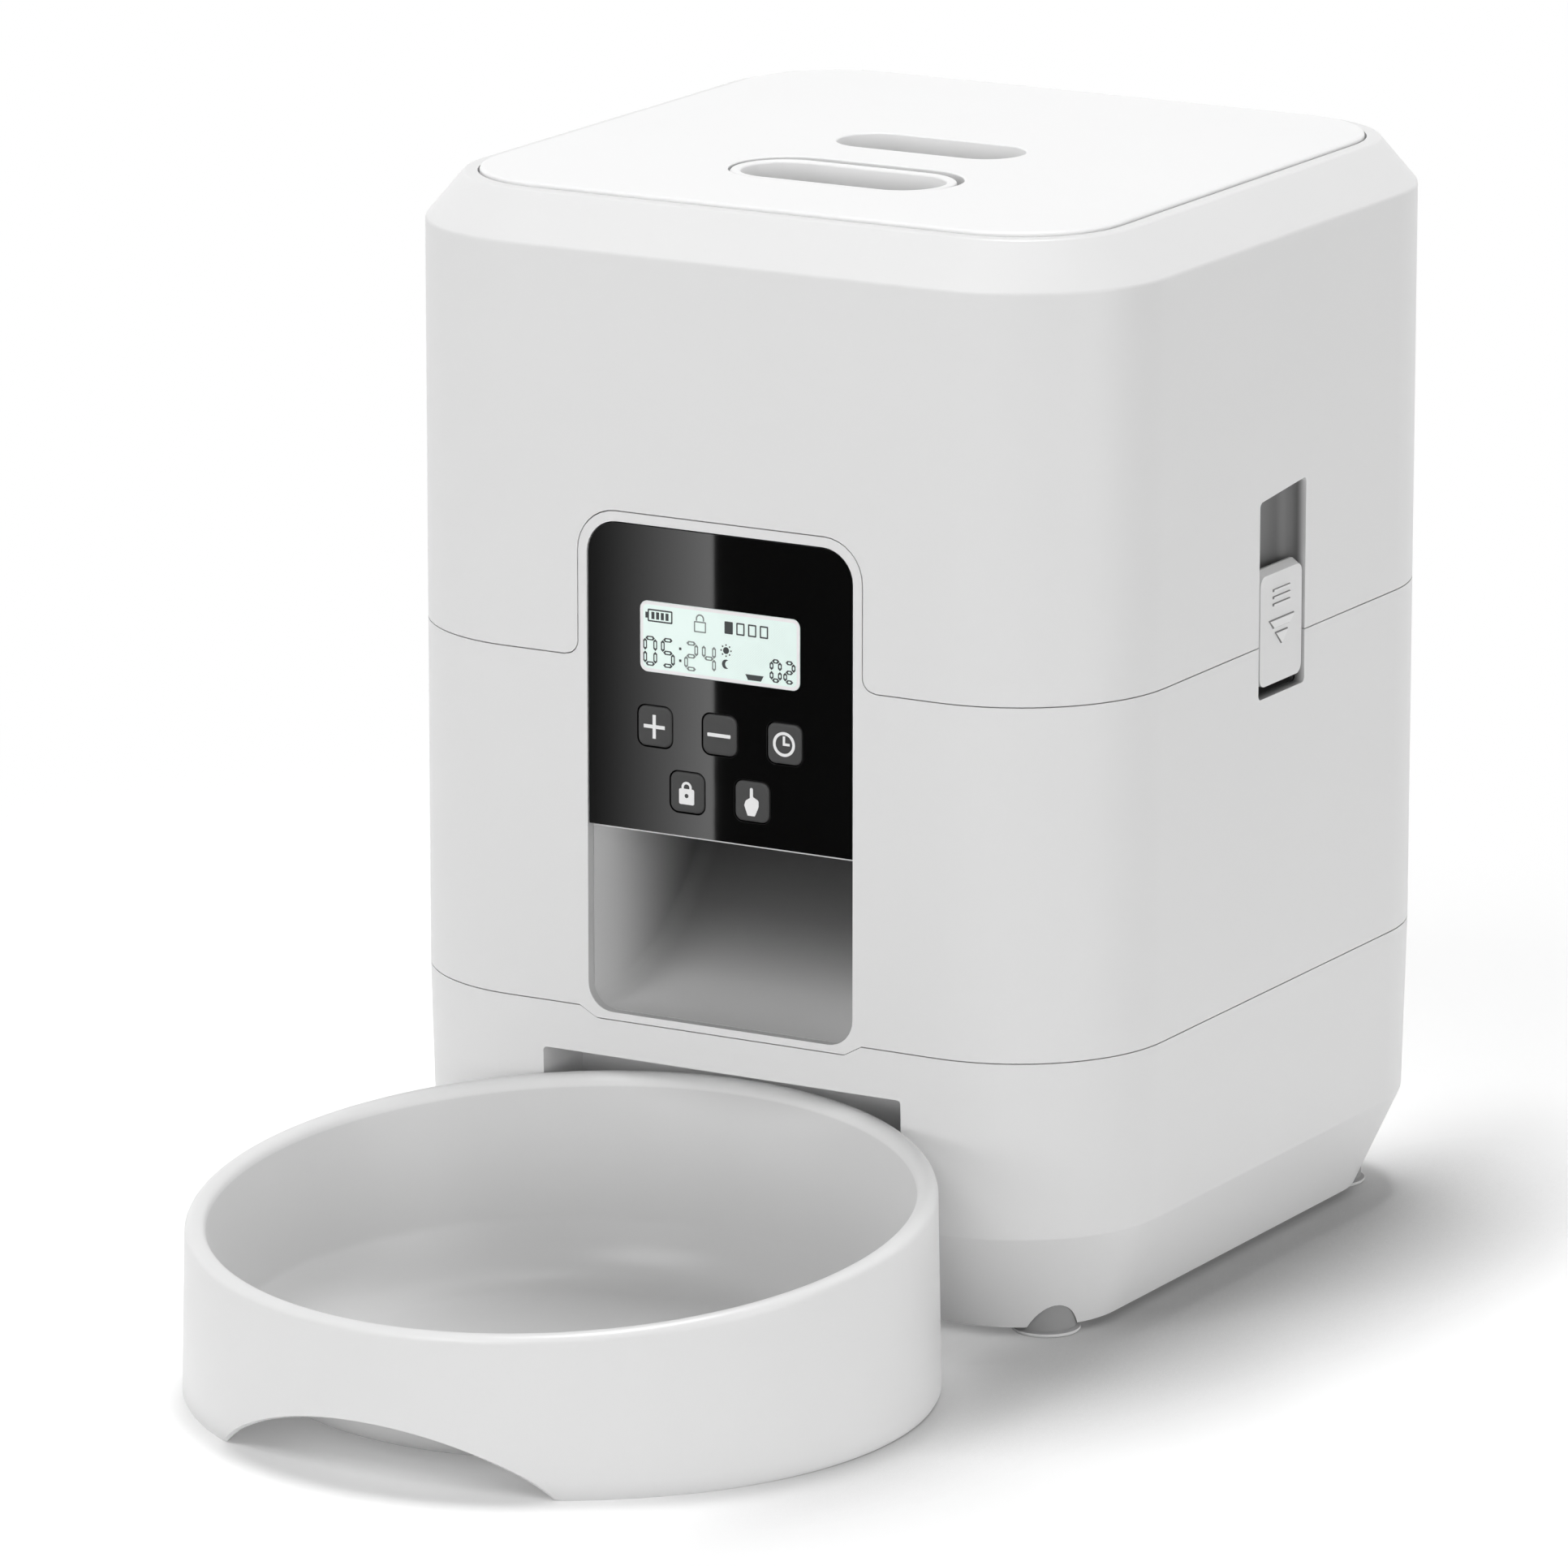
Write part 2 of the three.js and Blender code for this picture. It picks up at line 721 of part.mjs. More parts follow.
// A spring steel plate at one end of the cells, with a pressed dome that reaches each cell.
function batteryContact(end) {
  const outerFace = batteryY + end * (batteryHalfDepth - clearance);
  const innerFace = outerFace - end * contactThickness;
  const plate = boxSolid(
    -batteryHalfWidth + clearance, batteryHalfWidth - clearance, Math.min(outerFace, innerFace),
    Math.max(outerFace, innerFace), cellBottom, batteryTop - clearance,
  );
  const domes = [];
  for (let place = 0; place < cellCount; place += 1) {
    const x = (place - (cellCount - 1) / 2) * cellPitch;
    const buttonHere = (place % 2 === 0 ? 1 : -1) === end;
    const reach = batteryY + end * (cellLength / 2 + (buttonHere ? cellButtonHeight : 0) + clearance);
    domes.push(rod(cellButtonRadius, x, cellMiddle, Math.min(reach, outerFace), Math.max(reach, outerFace)));
  }
  return union([plate, ...domes]);
}

addPart('battery_compartment', batteryCompartment(), innerWhite);
for (let place = 0; place < cellCount; place += 1) {
  addPart(`battery_cell_${place + 1}`, batteryCell(place), cellCasing);
}
addPart('battery_contact_front', batteryContact(-1), steel);
addPart('battery_contact_rear', batteryContact(1), steel);

// Base floor with the bowl tongue, and the battery door
function doorTab(margin) {
  const reach = batteryHalfDepth + doorTabDepth;
  return boxSolid(
    -doorTabWidth / 2 - margin, doorTabWidth / 2 + margin, batteryY + batteryHalfDepth - overrun,
    batteryY + reach + margin, baseBottom - overrun * margin, floorTop + overrun * margin,
  );
}

function baseFloor() {
  const inset = baseBottomInset + wall + clearance;
  const plate = bodySlice(inset, baseBottom, inset - floorThickness * taperSlope, floorTop);
  const bayBack = bodyFront + bayDepth + clearance;
  const bayCut = boxSolid(
    -bodySide, bodySide, bodyFront - overrun, bayBack, baseBottom - overrun, floorTop + overrun,
  );
  const tongueFront = bodyFront + bayDepth - tongueReach;
  const tongue = boxSolid(
    -tongueHalfWidth, tongueHalfWidth, tongueFront, bayBack + overrun, baseBottom - tongueDrop,
    floorTop - tongueDrop,
  );
  const doorHole = batteryOuter(0, baseBottom - overrun, floorTop + overrun);
  const screwHoles = [...floorScrewPlaces(), ...housingScrewPlaces()].map(([x, y]) => post(
    screwHeadRadius + clearance, x, y, baseBottom - overrun, floorTop + overrun, smallSteps,
  ));
  const footRoom = footPosts(clearance * 2 + footPocketRim, baseBottom - overrun, floorTop + overrun);
  return cut(plate.subtract(bayCut).add(tongue), [doorHole, doorTab(clearance), ...footRoom, ...screwHoles]);
}

function batteryDoor() {
  const plate = batteryOuter(-clearance, baseBottom, baseBottom + doorThickness);
  const tab = doorTab(0).intersect(batteryOuter(doorTabDepth, baseBottom, baseBottom + doorThickness));
  return plate.add(tab);
}

addPart('base_floor', baseFloor(), innerWhite);
addPart('battery_door', batteryDoor(), innerWhite);

// Power inlet
function powerInlet() {
  const face = bodyDepth / 2 - clearance - baseTaperTopInset;
  const flange = rod(inletFlangeRadius, inletX, inletZ, face - inletFlange + clearance, face);
  const barrel = rod(inletRadius, inletX, inletZ, face - inletDepth, face);
  const hole = rod(inletHoleRadius, inletX, inletZ, face - inletHoleDepth, face + overrun);
  const pin = rod(inletPinRadius, inletX, inletZ, face - inletHoleDepth - overrun, face - overrun,
    smallSteps);
  return flange.add(barrel).subtract(hole).add(pin);
}

addPart('power_inlet', powerInlet(), matteBlack);

// Middle housing
function lockPocketWalls(side) {
  const back = bodySide - lockPocketDepth;
  const outer = extrudeAcross(lockPocketShape(thinWall), back - thinWall, bodySide - wall / 2);
  return side > 0 ? outer : outer.mirror([1, 0, 0]);
}

// The tray behind the housing's wall that guides the lower end of the slider.
function lockTray(side) {
  const below = boxSolid(0, bodyWidth, -bodyDepth, bodyDepth, lockPocketBottom - thinWall, housingTop);
  const back = bodySide - lockPocketDepth;
  const block = extrudeAcross(lockPocketShape(thinWall), back - thinWall, bodySide - wall - clearance);
  const tray = block.subtract(extrudeAcross(lockPocketShape(0), back, bodySide)).intersect(below);
  return side > 0 ? tray : tray.mirror([1, 0, 0]);
}

function lockPocketHollow(side) {
  const hollow = extrudeAcross(lockPocketShape(0), bodySide - lockPocketDepth, bodySide + overrun);
  return side > 0 ? hollow : hollow.mirror([1, 0, 0]);
}

function middleHousing() {
  const skin = outlineLoft([
    { inset: 0, z: housingBottom },
    { inset: 0, z: housingTop },
    { inset: wall, z: housingTop },
    { inset: wall, z: housingBottom },
  ], true);
  const tower = extrudeBack(towerShape(0, deckBottom), bodyFront, towerBack);
  const foot = extrudeBack(towerFoot(0, housingTop), bodyFront, wallInnerFront);
  const dip = extrudeBack(dipShape(-seamGap / 2), bodyFront, wallInnerFront);
  const bosses = corners.map(([sx, sy]) => union([
    post(
      housingBossRadius, sx * gussetX, sy * gussetY, gussetTop + clearance,
      gussetTop + screwLength + thinWall * 2,
      smallSteps,
    ),
    boxSolid(
      Math.min(sx * gussetX, sx * (bodySide - wall / 2)), Math.max(sx * gussetX, sx * (bodySide - wall / 2)),
      sy * gussetY - thinWall / 2, sy * gussetY + thinWall / 2,
      lowerSeam + wall, gussetTop + screwLength + thinWall * 2,
    ),
  ]));
  const ledges = corners.map(([sx, sy]) => boxSolid(
    Math.min(sx * (bodySide - wall - deckLedge), sx * (bodySide - wall / 2)),
    Math.max(sx * (bodySide - wall - deckLedge), sx * (bodySide - wall / 2)),
    sy * gussetY - gussetWidth / 2, sy * gussetY + gussetWidth / 2,
    deckBottom - clearance - deckLedgeHeight, deckBottom - clearance,
  ));
  const opening = extrudeBack(openingShape(0, openingBottom), bodyFront - overrun, towerBack + overrun);
  const screwHoles = housingScrewPlaces().map(([x, y]) => post(
    screwRadius + clearance, x, y, gussetTop, gussetTop + screwLength + clearance, smallSteps,
  ));
  const body = union([skin, tower, foot, dip, ...bosses, ...ledges]);
  const hollows = sides.map((side) => lockPocketHollow(side));
  return cut(body, [opening, ...screwHoles, ...hollows]);
}

// The deck carries the gearbox below and takes the foot of the hopper round its spigot.
function housingDeck() {
  const inset = wall + clearance;
  const plate = bodySlice(inset, deckBottom, inset, deckTop);
  const spigot = outlineLoft([
    { inset, z: deckBottom },
    { inset, z: deckTop + spigotHeight },
    { inset: inset + spigotThickness, z: deckTop + spigotHeight },
    { inset: inset + spigotThickness, z: deckBottom },
  ], true);
  const trayBack = bodySide - lockPocketDepth - thinWall - clearance;
  const towerHalf = towerHalfWidth + clearance;
  const room = [
    boxSolid(-towerHalf, towerHalf, bodyFront, towerBack + clearance, deckBottom - overrun, towerTop),
    boxSolid(trayBack, bodySide, -bodyDepth, bodyDepth, deckBottom - overrun, towerTop),
    boxSolid(-bodySide, -trayBack, -bodyDepth, bodyDepth, deckBottom - overrun, towerTop),
    boxSolid(-towerHalf - thinWall, towerHalf + thinWall, bodyFront, towerBack, deckTop, towerTop),
  ];
  const shaftHole = post(deckShaftHoleRadius, 0, 0, deckBottom - overrun, deckTop + overrun);
  const chuteHole = boxSolid(
    -deckChuteHalfWidth, deckChuteHalfWidth, -chuteInletFront, -chuteInletBack,
    deckBottom - overrun, deckTop + overrun,
  );
  const gearboxHoles = gearboxScrewPlaces().map(([x, y]) => post(
    screwRadius + clearance, x, y, deckBottom - overrun, deckTop + overrun, smallSteps,
  ));
  return cut(plate.add(spigot), [...room, shaftHole, chuteHole, ...gearboxHoles]);
}

function gearboxScrewPlaces() {
  const x = gearboxHalfWidth - screwHeadRadius - clearance;
  return [[-x, gearboxBack - screwHeadRadius - clearance], [x, gearboxBack - screwHeadRadius - clearance]];
}

addPart('middle_housing', middleHousing(), white);
addPart('housing_deck', housingDeck(), innerWhite);
sides.forEach((side) => {
  addPart(side > 0 ? 'lock_tray_right' : 'lock_tray_left', lockTray(side), matteBlack);
});

// Keys, panel, display
const keys = [
  ['key_plus', -keyPitch, keyUpperRow],
  ['key_minus', 0, keyUpperRow],
  ['key_set', keyPitch, keyUpperRow],
  ['key_lock', -keyPitch / 2, keyLowerRow],
  ['key_feed', keyPitch / 2, keyLowerRow],
];

function keyColumn(x, z, margin, y0, y1) {
  const halfWidth = keyWidth / 2 + margin;
  const halfHeight = keyHeight / 2 + margin;
  const shape = evenShape(x - halfWidth, x + halfWidth, z - halfHeight, z + halfHeight, keyRadius);
  return extrudeBack(shape, y0, y1);
}

function keyHoles(y0, y1) {
  return keys.map(([, x, z]) => keyColumn(x, z, clearance, y0, y1));
}

function displayBlock(margin, y0, y1) {
  const half = displayHalfWidth + margin;
  const shape = evenShape(-half, half, displayBottom - margin, displayTop + margin, displayRadius);
  return extrudeBack(shape, y0, y1);
}

function frontPanel() {
  const glass = extrudeBack(openingShape(clearance, panelBottom), panelFront, panelBack);
  return cut(glass, [
    displayBlock(0, panelFront - overrun, panelBack + overrun),
    ...keyHoles(panelFront - overrun, panelBack + overrun),
  ]);
}

function displayModule() {
  const window = displayBlock(-clearance, panelFront, carrierBack);
  const moduleFront = carrierBack + clearance;
  const module = displayBlock(displayModuleBorder, moduleFront, moduleFront + displayModuleThickness);
  const neck = displayBlock(-clearance, carrierBack - overrun, moduleFront + overrun);
  return union([window, neck, module]);
}

addPart('front_panel', frontPanel(), glassBlack);
addPart('display', displayModule(), displayMint);
keys.forEach(([name, x, z]) => {
  const flangeFront = carrierBack + clearance;
  const column = keyColumn(x, z, 0, panelFront - keyProud, flangeFront + overrun / 2);
  const flange = keyColumn(x, z, keyFlange, flangeFront, flangeFront + keyFlangeThickness);
  addPart(name, column.add(flange), keyBlack);
});

// Carrier, board and back cover
function boardPosts(radius, y0, y1) {
  const x = boardHalfWidth - boardPostInset;
  const places = [[-x, boardBottom + boardPostInset], [x, boardBottom + boardPostInset],
    [-x, boardTop - boardPostInset], [x, boardTop - boardPostInset]];
  return places.map(([px, pz]) => rod(radius, px, pz, y0, y1, smallSteps));
}

function panelCarrier() {
  const block = extrudeBack(openingShape(clearance, panelBottom), carrierFront, carrierRimBack);
  const hollow = extrudeBack(
    openingShape(clearance + carrierRim, panelBottom + carrierRim), carrierBack, carrierRimBack + overrun,
  );
  const posts = boardPosts(boardPostRadius, carrierBack - overrun, boardFront - clearance);
  return cut(union([block.subtract(hollow), ...posts]), [
    displayBlock(0, carrierFront - overrun, carrierBack + overrun),
    ...keyHoles(carrierFront - overrun, carrierBack + overrun),
  ]);
}

// The board carries a switch behind each key and a few tall parts on its back.
function controlBoard() {
  const plate = boxSolid(-boardHalfWidth, boardHalfWidth, boardFront, boardBack, boardBottom, boardTop);
  const switchFront = carrierBack + clearance + keyFlangeThickness + keyTravel + clearance;
  const switchRadius = keyWidth / 2 - clearance * 3;
  const switchBack = boardFront + boardThickness / 2;
  const switches = keys.map(([, x, z]) => rod(switchRadius, x, z, switchFront, switchBack));
  const chip = boxSolid(
    -keyPitch / 2, keyPitch / 2, boardBack - boardThickness / 2, boardBack + boardThickness,
    keyUpperRow, keyUpperRow + keyPitch,
  );
  return union([plate, ...switches, chip]);
}

addPart('panel_carrier', panelCarrier(), matteBlack);
addPart('control_board', controlBoard(), boardGreen);
addPart('panel_back_cover', extrudeBack(
  openingShape(clearance, panelBottom), carrierRimBack + clearance,
  carrierRimBack + clearance + coverThickness,
), matteBlack);

// Chute: the ramp is an arc that runs out level at the mouth, with a steep drop from the inlet behind it.
function chuteProfile(margin, reach) {
  const mouth = wallInnerFront + clearance;
  const roof = panelBottom - clearance - thinWall;
  const radius = chuteRampRadius + margin;
  const points = [];
  for (let step = 0; step <= rampSteps; step += 1) {
    const angle = THREE.MathUtils.degToRad(chuteRampAngle) * step / rampSteps;
    points.push([mouth + radius * Math.sin(angle),
      openingBottom + chuteRampRadius - radius * Math.cos(angle)]);
  }
  points[0][0] -= reach;
  points.push([-chuteInletBack + margin, deckBottom - clearance + reach]);
  points.push([-chuteInletFront - margin, deckBottom - clearance + reach]);
  points.push([-chuteRoofBack - margin, roof + margin]);
  points.push([mouth + chuteLipDepth, roof + margin]);
  points.push([mouth - reach, roof + Math.max(margin, chuteLipRise)]);
  return outlineOf(points);
}

function chute() {
  const half = openingHalfWidth;
  const outer = extrudeAcross(chuteProfile(thinWall, 0), -half - thinWall, half + thinWall);
  const inner = extrudeAcross(chuteProfile(0, overrun), -half, half);
  return outer.subtract(inner);
}

addPart('chute', chute(), innerWhite);

// Drive
const gearboxTop = deckBottom - clearance;
const gearboxBottom = gearboxTop - gearboxHeight;

function gearbox() {
  const shape = evenShape(-gearboxHalfWidth, gearboxHalfWidth, -gearboxFront, gearboxBack, wall);
  const bore = post(shaftRadius + clearance, 0, 0, gearboxBottom + wall, gearboxTop + overrun);
  const holes = gearboxScrewPlaces().map(([x, y]) => post(
    screwRadius + clearance, x, y, gearboxTop - screwLength, gearboxTop + overrun, smallSteps,
  ));
  return cut(extrudeUp(shape, gearboxBottom, gearboxTop), [bore, ...holes]);
}

// The reach to a corner of the driving dog, whose flat sides are grown by a margin.
function dogCorner(margin) {
  return (dogWidth / 2 + margin) / Math.cos(Math.PI / dogSides);
}

function driveShaft() {
  const shaft = post(shaftRadius, 0, 0, gearboxBottom + wall + clearance, deckTop + clearance);
  const collarTop = deckTop + clearance + shaftCollarHeight / 2;
  const collar = post(shaftCollarRadius, 0, 0, collarTop - shaftCollarHeight, collarTop);
  const dog = post(dogCorner(0), 0, 0, collarTop - overrun, collarTop + dogHeight, dogSides);
  return union([shaft, collar, dog]);
}

addPart('gearbox', gearbox(), matteBlack);
const motorTop = gearboxBottom - clearance;
addPart('motor', post(motorRadius, 0, motorOffset, motorTop - motorHeight, motorTop), steel);
addPart('drive_shaft', driveShaft(), steel);

// Hopper
const neckInset = chamferInset + rimLand + ledgeWidth;

function hopperShell() {
  const ledge = rimTop - ledgeDrop;
  const above = boxSolid(-bodyWidth, bodyWidth, -bodyDepth, bodyDepth, hopperBottom, rimTop);
  const skin = outlineLoft([
    { inset: 0, z: hopperBottom },
    { inset: 0, z: chamferBottom },
    { inset: chamferInset, z: rimTop },
    { inset: chamferInset + rimLand, z: rimTop },
    { inset: chamferInset + rimLand, z: ledge },
    { inset: neckInset, z: ledge },
    { inset: neckInset, z: rimTop - neckHeight },
    { inset: neckInset - neckThickness, z: rimTop - neckHeight },
    { inset: neckInset - neckThickness, z: ledge - wall },
    { inset: chamferInset, z: ledge - wall },
    { inset: wall, z: chamferBottom - wall / 2 },
    { inset: wall, z: hopperBottom },
  ], true);
  const pockets = sides.map((side) => lockPocketWalls(side).intersect(above));
  const hollows = sides.map((side) => lockPocketHollow(side));
  const notch = extrudeBack(towerShape(seamGap, housingBottom), bodyFront - overrun, bodyFront + wall * 2);
  const foot = extrudeBack(towerFoot(seamGap, hopperBottom), bodyFront - overrun, bodyFront + wall * 2);
  const slots = sides.map((side) => {
    const slotTop = lockTabBottom + lockTabHeight + lockTravel + clearance;
    const slotHalf = lockTabWidth / 2 + clearance;
    const x = side * (bodySide - lockPocketDepth - thinWall / 2);
    return boxSolid(x - thinWall, x + thinWall, -slotHalf, slotHalf, lockTabBottom - clearance, slotTop);
  });
  return cut(union([skin, ...pockets]), [...hollows, notch, foot, ...slots]);
}

// The funnel narrows from the body's outline to the round cup, whose top it laps.
function hopperFunnel() {
  const inset = wall + clearance;
  const lapInner = cupRadius + thinWall + clearance;
  const lapOuter = lapInner + thinWall;
  return outlineLoft([
    { inset, z: funnelTop },
    { inset, z: funnelTop - thinWall },
    { radius: lapOuter, z: cupTop },
    { radius: lapOuter, z: cupTop - funnelLap },
    { radius: lapInner, z: cupTop - funnelLap },
    { radius: lapInner, z: cupTop + clearance },
    { radius: cupRadius, z: cupTop + clearance },
    { inset: inset + thinWall, z: funnelTop },
  ], true);
}

function meteringCup() {
  const skin = outlineLoft([
    { centre: true, z: cupBottom },
    { radius: cupRadius + thinWall, z: cupBottom },
    { radius: cupRadius + thinWall, z: cupTop },
    { radius: cupRadius, z: cupTop },
    { radius: cupRadius, z: cupBottom + cupFloor },
    { centre: true, z: cupBottom + cupFloor },
  ], false);
  const dropHole = boxSolid(
    -dropHoleHalfWidth, dropHoleHalfWidth, -dropHoleFront, -dropHoleBack, cupBottom - overrun,
    cupBottom + cupFloor + overrun,
  );
  const shaftHole = post(cupHoleRadius, 0, 0, cupBottom - overrun, cupBottom + cupFloor + overrun);
  return cut(skin, [dropHole, shaftHole]);
}

// The shield covers the drop hole, so that only a full chamber of the rotor can fall through it.
function meteringShield() {
  const shape = new THREE.Shape();
  const half = THREE.MathUtils.degToRad(shieldHalfAngle);
  const front = -Math.PI / 2;
  shape.absarc(0, 0, cupRadius - clearance * 3, front - half, front + half, false);
  shape.absarc(0, 0, shieldHubRadius, front + half, front - half, true);
  return extrudeUp(shape, shieldBottom, shieldBottom + shieldThickness);
}

addPart('hopper_shell', hopperShell(), white);
addPart('hopper_funnel', hopperFunnel(), innerWhite);
addPart('metering_cup', meteringCup(), innerWhite);
addPart('metering_shield', meteringShield(), innerWhite);

// Rotor: soft vanes on a hub that sits on the drive dog, with a cone that parts the food.
function rotor() {
  const hub = post(rotorHubRadius, 0, 0, rotorBottom, rotorTop);
  const boss = post(cupHoleRadius - clearance * 2, 0, 0, cupBottom + clearance, rotorBottom + overrun);
  const coneBody = new THREE.ConeGeometry(rotorHubRadius, rotorConeHeight, roundSteps);
  coneBody.rotateX(Math.PI / 2);
  coneBody.translate(0, 0, rotorTop + rotorConeHeight / 2 - clearance);
  const vanes = [];
  for (let place = 0; place < rotorVanes; place += 1) {
    const vane = new THREE.BoxGeometry(rotorRadius, rotorVaneThickness, rotorTop - rotorBottom);
    vane.translate(rotorRadius / 2, 0, (rotorTop + rotorBottom) / 2);
    vane.rotateZ(place * 2 * Math.PI / rotorVanes);
    vanes.push(solid(vane));
  }
  const dogTop = deckTop + clearance + shaftCollarHeight / 2 + dogHeight;
  const socket = post(dogCorner(clearance), 0, 0, cupBottom - overrun, dogTop + clearance, dogSides);
  return union([hub, boss, solid(coneBody), ...vanes]).subtract(socket);
}

addPart('rotor', rotor(), softGrey);

// Side locks, with a tab through the pocket's back that holds the slider in
sides.forEach((side) => {
  const back = bodySide - lockPocketDepth + clearance;
  const face = bodySide - clearance;
  const half = lockPocketHalfWidth - lockSideGap;
  const plate = extrudeAcross(evenShape(-half, half, lockBottom, lockBottom + lockHeight, lockRadius),
    back, face);
  const tabHalf = lockTabWidth / 2;
  const headBack = back - thinWall - clearance * 2 - lockTabHeadThickness;
  const neck = boxSolid(headBack, back + overrun, -tabHalf, tabHalf, lockTabBottom,
    lockTabBottom + lockTabHeight);
  const head = boxSolid(
    headBack, headBack + lockTabHeadThickness, -tabHalf - lockTabHead, tabHalf + lockTabHead,
    lockTabBottom, lockTabBottom + lockTabHeight,
  );
  const lock = union([plate, neck, head]);
  const name = side > 0 ? 'side_lock_right' : 'side_lock_left';
  addPart(name, side > 0 ? lock : lock.mirror([1, 0, 0]), white);
});

// Lid
const lidInset = chamferInset + rimLand + lidGap;
const lidBottom = lidTop - lidThickness;
const skirtInset = neckInset + lidSkirtGap;
const latchSlotHalfDepth = latchHalfDepth + (latchTravel + latchFrontGap + clearance) / 2;
const latchSlotY = latchY + (latchTravel + clearance - latchFrontGap) / 2;
const latchSlotHalfWidth = latchHalfWidth + latchSideGap;
const collarBottom = lidBottom - lidCollarDepth;
const boltTop = lidTop - boltDrop;
const boltBottom = boltTop - boltThickness;
const gasketTop = lidTop - gasketDrop;
const gasketBottom = gasketTop - gasketHeight;

function lid() {
  const plate = bodySlice(lidInset, lidBottom, lidInset, lidTop - lidEdge)
    .add(bodySlice(lidInset, lidTop - lidEdge, lidInset + lidEdge, lidTop));
  const skirt = outlineLoft([
    { inset: skirtInset, z: lidBottom + overrun },
    { inset: skirtInset, z: lidBottom - lidSkirtDepth },
    { inset: skirtInset + lidSkirtThickness, z: lidBottom - lidSkirtDepth },
    { inset: skirtInset + lidSkirtThickness, z: lidBottom + overrun },
  ], true);
  const gasketGroove = outlineLoft([
    { inset: neckInset, z: gasketBottom - clearance },
    { inset: neckInset, z: gasketTop + clearance },
    { inset: skirtInset + gasketDepth, z: gasketTop + clearance },
    { inset: skirtInset + gasketDepth, z: gasketBottom - clearance },
  ], true);
  const collar = extrudeUp(
    pillShape(latchSlotHalfWidth + lidCollar, latchSlotHalfDepth + lidCollar, latchSlotY),
    collarBottom, lidBottom + overrun,
  );
  const pocket = extrudeUp(
    pillShape(rearPocketHalfWidth + lidCollar, rearPocketHalfDepth + lidCollar, rearPocketY),
    lidTop - rearPocketDepth - lidCollar, lidBottom + overrun,
  );
  const ring = post(
    desiccantRadius + clearance + desiccantRing, 0, desiccantY, lidBottom - desiccantRingDepth,
    lidBottom + overrun,
  );
  const slot = extrudeUp(pillShape(latchSlotHalfWidth, latchSlotHalfDepth, latchSlotY),
    collarBottom - overrun,
    lidTop + overrun);
  const rearHollow = extrudeUp(pillShape(rearPocketHalfWidth, rearPocketHalfDepth, rearPocketY),
    lidTop - rearPocketDepth, lidTop + overrun);
  const ringHollow = post(
    desiccantRadius + clearance, 0, desiccantY, lidBottom - desiccantRingDepth - overrun, lidBottom,
  );
  const boltSlot = boxSolid(
    -boltHalfWidth - boltGap, boltHalfWidth + boltGap, bodyFront, latchY, boltBottom - boltGap,
    boltTop + boltGap,
  );
  const body = union([plate, skirt, collar, pocket, ring]);
  return cut(body, [gasketGroove, slot, rearHollow, ringHollow, boltSlot]);
}

function lidLatch() {
  const top = lidTop - latchTopDrop;
  const floor = top - latchCupDepth;
  const cup = extrudeUp(pillShape(latchHalfWidth, latchHalfDepth, latchY), floor - latchFloor, top);
  const hollow = extrudeUp(
    pillShape(latchHalfWidth - latchCupWall, latchHalfDepth - latchCupWall, latchY), floor, top + overrun,
  );
  const boltFront = bodyFront + neckInset + boltSetback;
  const bolt = boxSolid(-boltHalfWidth, boltHalfWidth, boltFront, latchY - latchHalfDepth / 2,
    boltBottom, boltTop);
  return cup.add(bolt).subtract(hollow);
}

function latchCover() {
  const half = latchSlotHalfWidth + lidCollar;
  const depth = latchSlotHalfDepth + lidCollar;
  const top = Math.min(collarBottom, lidTop - latchTopDrop - latchCupDepth - latchFloor) - clearance;
  return extrudeUp(pillShape(half, depth, latchSlotY), top - latchCoverThickness, top);
}

function lidGasket() {
  return outlineLoft([
    { inset: neckInset + clearance, z: gasketBottom },
    { inset: neckInset + clearance, z: gasketTop },
    { inset: skirtInset + gasketDepth - clearance, z: gasketTop },
    { inset: skirtInset + gasketDepth - clearance, z: gasketBottom },
  ], true);
}

function desiccantBox() {
  const top = lidBottom - clearance;
  const body = post(desiccantRadius, 0, desiccantY, top - desiccantHeight, top);
  const slots = [];
  for (let place = 0; place < desiccantSlots; place += 1) {
    const slot = new THREE.BoxGeometry(desiccantRadius * 2 + overrun, desiccantSlotWidth,
      desiccantSlotHeight);
    slot.rotateZ(place * Math.PI / desiccantSlots);
    slot.translate(0, desiccantY, top - desiccantHeight + desiccantSlotRise + desiccantSlotHeight / 2);
    slots.push(solid(slot));
  }
  const core = post(desiccantRadius - wall, 0, desiccantY, top - desiccantHeight, top);
  return cut(body, slots).add(core);
}

addPart('lid', lid(), white);
addPart('lid_latch', lidLatch(), white);
addPart('latch_cover', latchCover(), innerWhite);
addPart('lid_gasket', lidGasket(), gasketWhite);
addPart('desiccant_box', desiccantBox(), innerWhite);

// Screws, heads down
function screw(x, y, headTop, headDown = true) {
  const head = headDown
    ? post(screwHeadRadius, x, y, headTop - screwHeadHeight, headTop, smallSteps)
    : post(screwHeadRadius, x, y, headTop, headTop + screwHeadHeight, smallSteps);
  const shank = headDown
    ? post(screwRadius, x, y, headTop - screwHeadHeight / 2, headTop + screwLength - wall, smallSteps)
    : post(screwRadius, x, y, headTop - screwLength + wall, headTop + screwHeadHeight / 2, smallSteps);
  return head.add(shank);
}

corners.forEach(([sx, sy, place]) => {
  addPart(`housing_screw_${place}`, screw(sx * gussetX, sy * gussetY, housingScrewHeadTop()), steel);
  addPart(`floor_screw_${place}`, screw(sx * floorBossX, sy * floorBossY, floorTop), steel);
});
gearboxScrewPlaces().forEach(([x, y], place) => {
  addPart(`gearbox_screw_${place + 1}`, screw(x, y, deckTop + clearance, false), steel);
});

